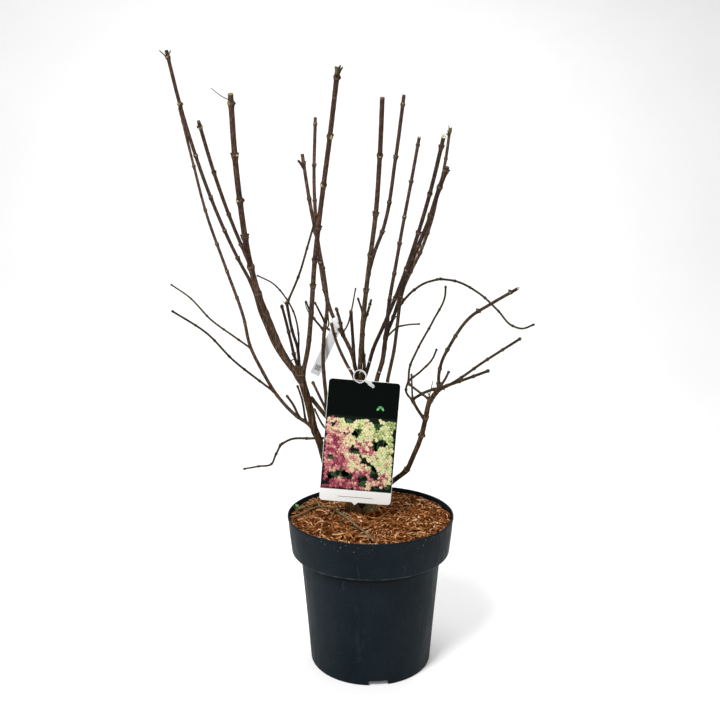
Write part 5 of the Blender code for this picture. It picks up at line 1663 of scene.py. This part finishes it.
def scatter_chips(tones):
    """Small broken chips of bark, each an uneven slab lying at its own tilt."""
    draw = random.Random(23)
    shell = Shell()
    faces = [tuple(reversed(face)) for face in prism_faces(CHIP_CORNERS)]
    for _ in range(CHIP_COUNT):
        x, y = place_on_disc(draw, MULCH_RADIUS - CHIP_MARGIN)
        size = draw.uniform(*CHIP_SIZES) * (BIG_CHIP if draw.random() < BIG_CHIP_SHARE else 1.0)
        thick = size * draw.uniform(*CHIP_THICKNESS)
        placed = Matrix.Rotation(draw.uniform(0, 2 * math.pi), 3, "Z")
        for lean, axis in CHIP_LEANS:
            placed = placed @ Matrix.Rotation(draw.uniform(-lean, lean), 3, axis)
        centre = Vector((x, y, mulch_height(x, y) + draw.uniform(0.0, CHIP_LIFT)))
        long = draw.uniform(*CHIP_STRETCH)
        places = []
        for level, spread in ((-1, 1.0), (1, 0.84)):
            for k in range(CHIP_CORNERS):
                angle = 2 * math.pi * (k + draw.uniform(-0.3, 0.3)) / CHIP_CORNERS
                point = spoke(angle, size * draw.uniform(0.75, 1.1) * spread * 0.5, level * thick / 2)
                point.x *= long
                places.append(centre + placed @ point)
        shell.add(places, faces, draw.choices(range(5), CHIP_WEIGHTS)[0])
    shell.piece("mulch_chips", tones, (), 25.0)


def make_old_wood(shrub, finishes):
    """The stool and the three trunks, rough and finely cracked, with moss on the stool."""
    shell = Shell()
    for name, limb in TRUNKS.items():
        shrub.dress(shell, name, limb, OLD_WAVES)
    for tone, (foot, lean, *sizes) in BURLS:
        burl(shell, Vector(metres(foot)), Vector(metres(lean)), *metres(tuple(sizes)), tone)
    shell.piece("old_wood", finishes.limb(finishes.old), ("stool", *TRUNKS))


def burl(shell, foot, lean, wide, narrow, height, tone):
    """One knotted foot of old wood: a flaring, ridged and cracked lump that leans as it rises."""
    lump = Shell()
    profile = [(0.0, 0.0), (wide, 0.0)]
    for step in range(1, BURL_RINGS):
        share = step / BURL_RINGS
        flare = narrow + (wide - narrow) * (1 - share) ** 2.2
        profile.append((flare * math.sqrt(1.0 - 0.80 * share**5), share * height))
    profile += [(narrow * 0.30, height), (0.0, height)]

    def relief(place):
        share = place.z / height
        turn = spoke(math.atan2(place.y, place.x))
        ridge = noise.noise(turn * 2.6 + foot * 90 + up(place.z * 28))
        crack = noise.noise(turn * 8.0 + foot * 50 + up(place.z * 150))
        grown = 1 + 0.20 * ridge * (1.2 - share) + 0.09 * crack
        return Vector((place.x * grown, place.y * grown, place.z)) + lean * share**1.3

    turned(lump, profile, BURL_SIDES, 0, relief)
    lump.places[-1] += lean
    shell.add([place + foot for place in lump.places], lump.faces, tone)


def make_camera():
    """The camera, standing and framing as the photograph does."""
    data = bpy.data.cameras.new("camera")
    data.sensor_width = SENSOR_WIDTH
    data.lens = FOCAL_PIXELS / PICTURE_PIXELS * SENSOR_WIDTH
    data.shift_y = (AXIS_ROW - PICTURE_PIXELS / 2) / PICTURE_PIXELS
    camera = place_object("camera", data)
    camera.location = CAMERA_PLACE
    camera.rotation_euler = (math.pi / 2 - CAMERA_TILT, 0.0, 0.0)
    bpy.context.scene.camera = camera


def make_light(name, place, target, size, power):
    """A soft square light that faces a target."""
    data = bpy.data.lights.new(name, "AREA")
    data.size = size
    data.energy = power
    light = place_object(name, data)
    light.location = place
    light.rotation_euler = (Vector(target) - Vector(place)).to_track_quat("-Z", "Y").to_euler()


def make_studio():
    """A pale floor that curves up behind, soft lights from the left and above, and a pale world."""
    path = [(-STAGE_HALF, 0.0), (STAGE_BACK, 0.0)]
    for step in range(1, STAGE_STEPS + 1):
        angle = math.pi / 2 * step / STAGE_STEPS
        path.append((STAGE_BACK + STAGE_CURVE * math.sin(angle), STAGE_CURVE * (1 - math.cos(angle))))
    path.append((STAGE_BACK + STAGE_CURVE, STAGE_TOP))
    places = [Vector((x, y, z)) for y, z in path for x in (-STAGE_HALF, STAGE_HALF)]
    faces = [(2 * k, 2 * k + 1, 2 * k + 3, 2 * k + 2) for k in range(len(path) - 1)]
    mesh = new_mesh("backdrop", places, faces)
    mesh.shade_smooth()
    mesh.materials.append(plain("backdrop", (0.86, 0.86, 0.86), 0.9, 0.01, 3.0, 0.0))
    shader = mesh.materials[0].node_tree.nodes["Principled BSDF"].inputs
    shader["Emission Color"].default_value = WHITE
    shader["Emission Strength"].default_value = BACKDROP_GLOW
    backdrop = place_object("backdrop", mesh)
    world = bpy.data.worlds.new("studio")
    world.use_nodes = True
    background = world.node_tree.nodes["Background"]
    background.inputs["Color"].default_value = WHITE
    background.inputs["Strength"].default_value = WORLD_GLOW
    bpy.context.scene.world = world
    bpy.context.scene.view_settings.view_transform = "Standard"
    for name, light in LIGHTS.items():
        make_light(name, *light)


def main():
    """Dresses the whole part and sets the stage."""
    make_camera()
    make_studio()
    finishes = Finishes()
    make_pot()
    make_mulch()
    make_weed()
    make_dead_twigs(finishes)
    shrub = Shrub()
    make_old_wood(shrub, finishes)
    dress_canes(shrub, finishes)
    dress_group(shrub, finishes, "boughs_bark", SIDE_BOUGHS, finishes.twig)
    dress_group(shrub, finishes, "stubs_bark", SPURS, finishes.cane, SPUR_WAVES)
    dress_group(shrub, finishes, "twigs_bark", TWIGS, finishes.twig)
    make_twiglets(finishes)
    white = plain("white_plastic", (0.64, 0.64, 0.63), 0.35, 0.03)
    make_card()
    make_tie(shrub)
    make_stem_label(shrub, white)


main()
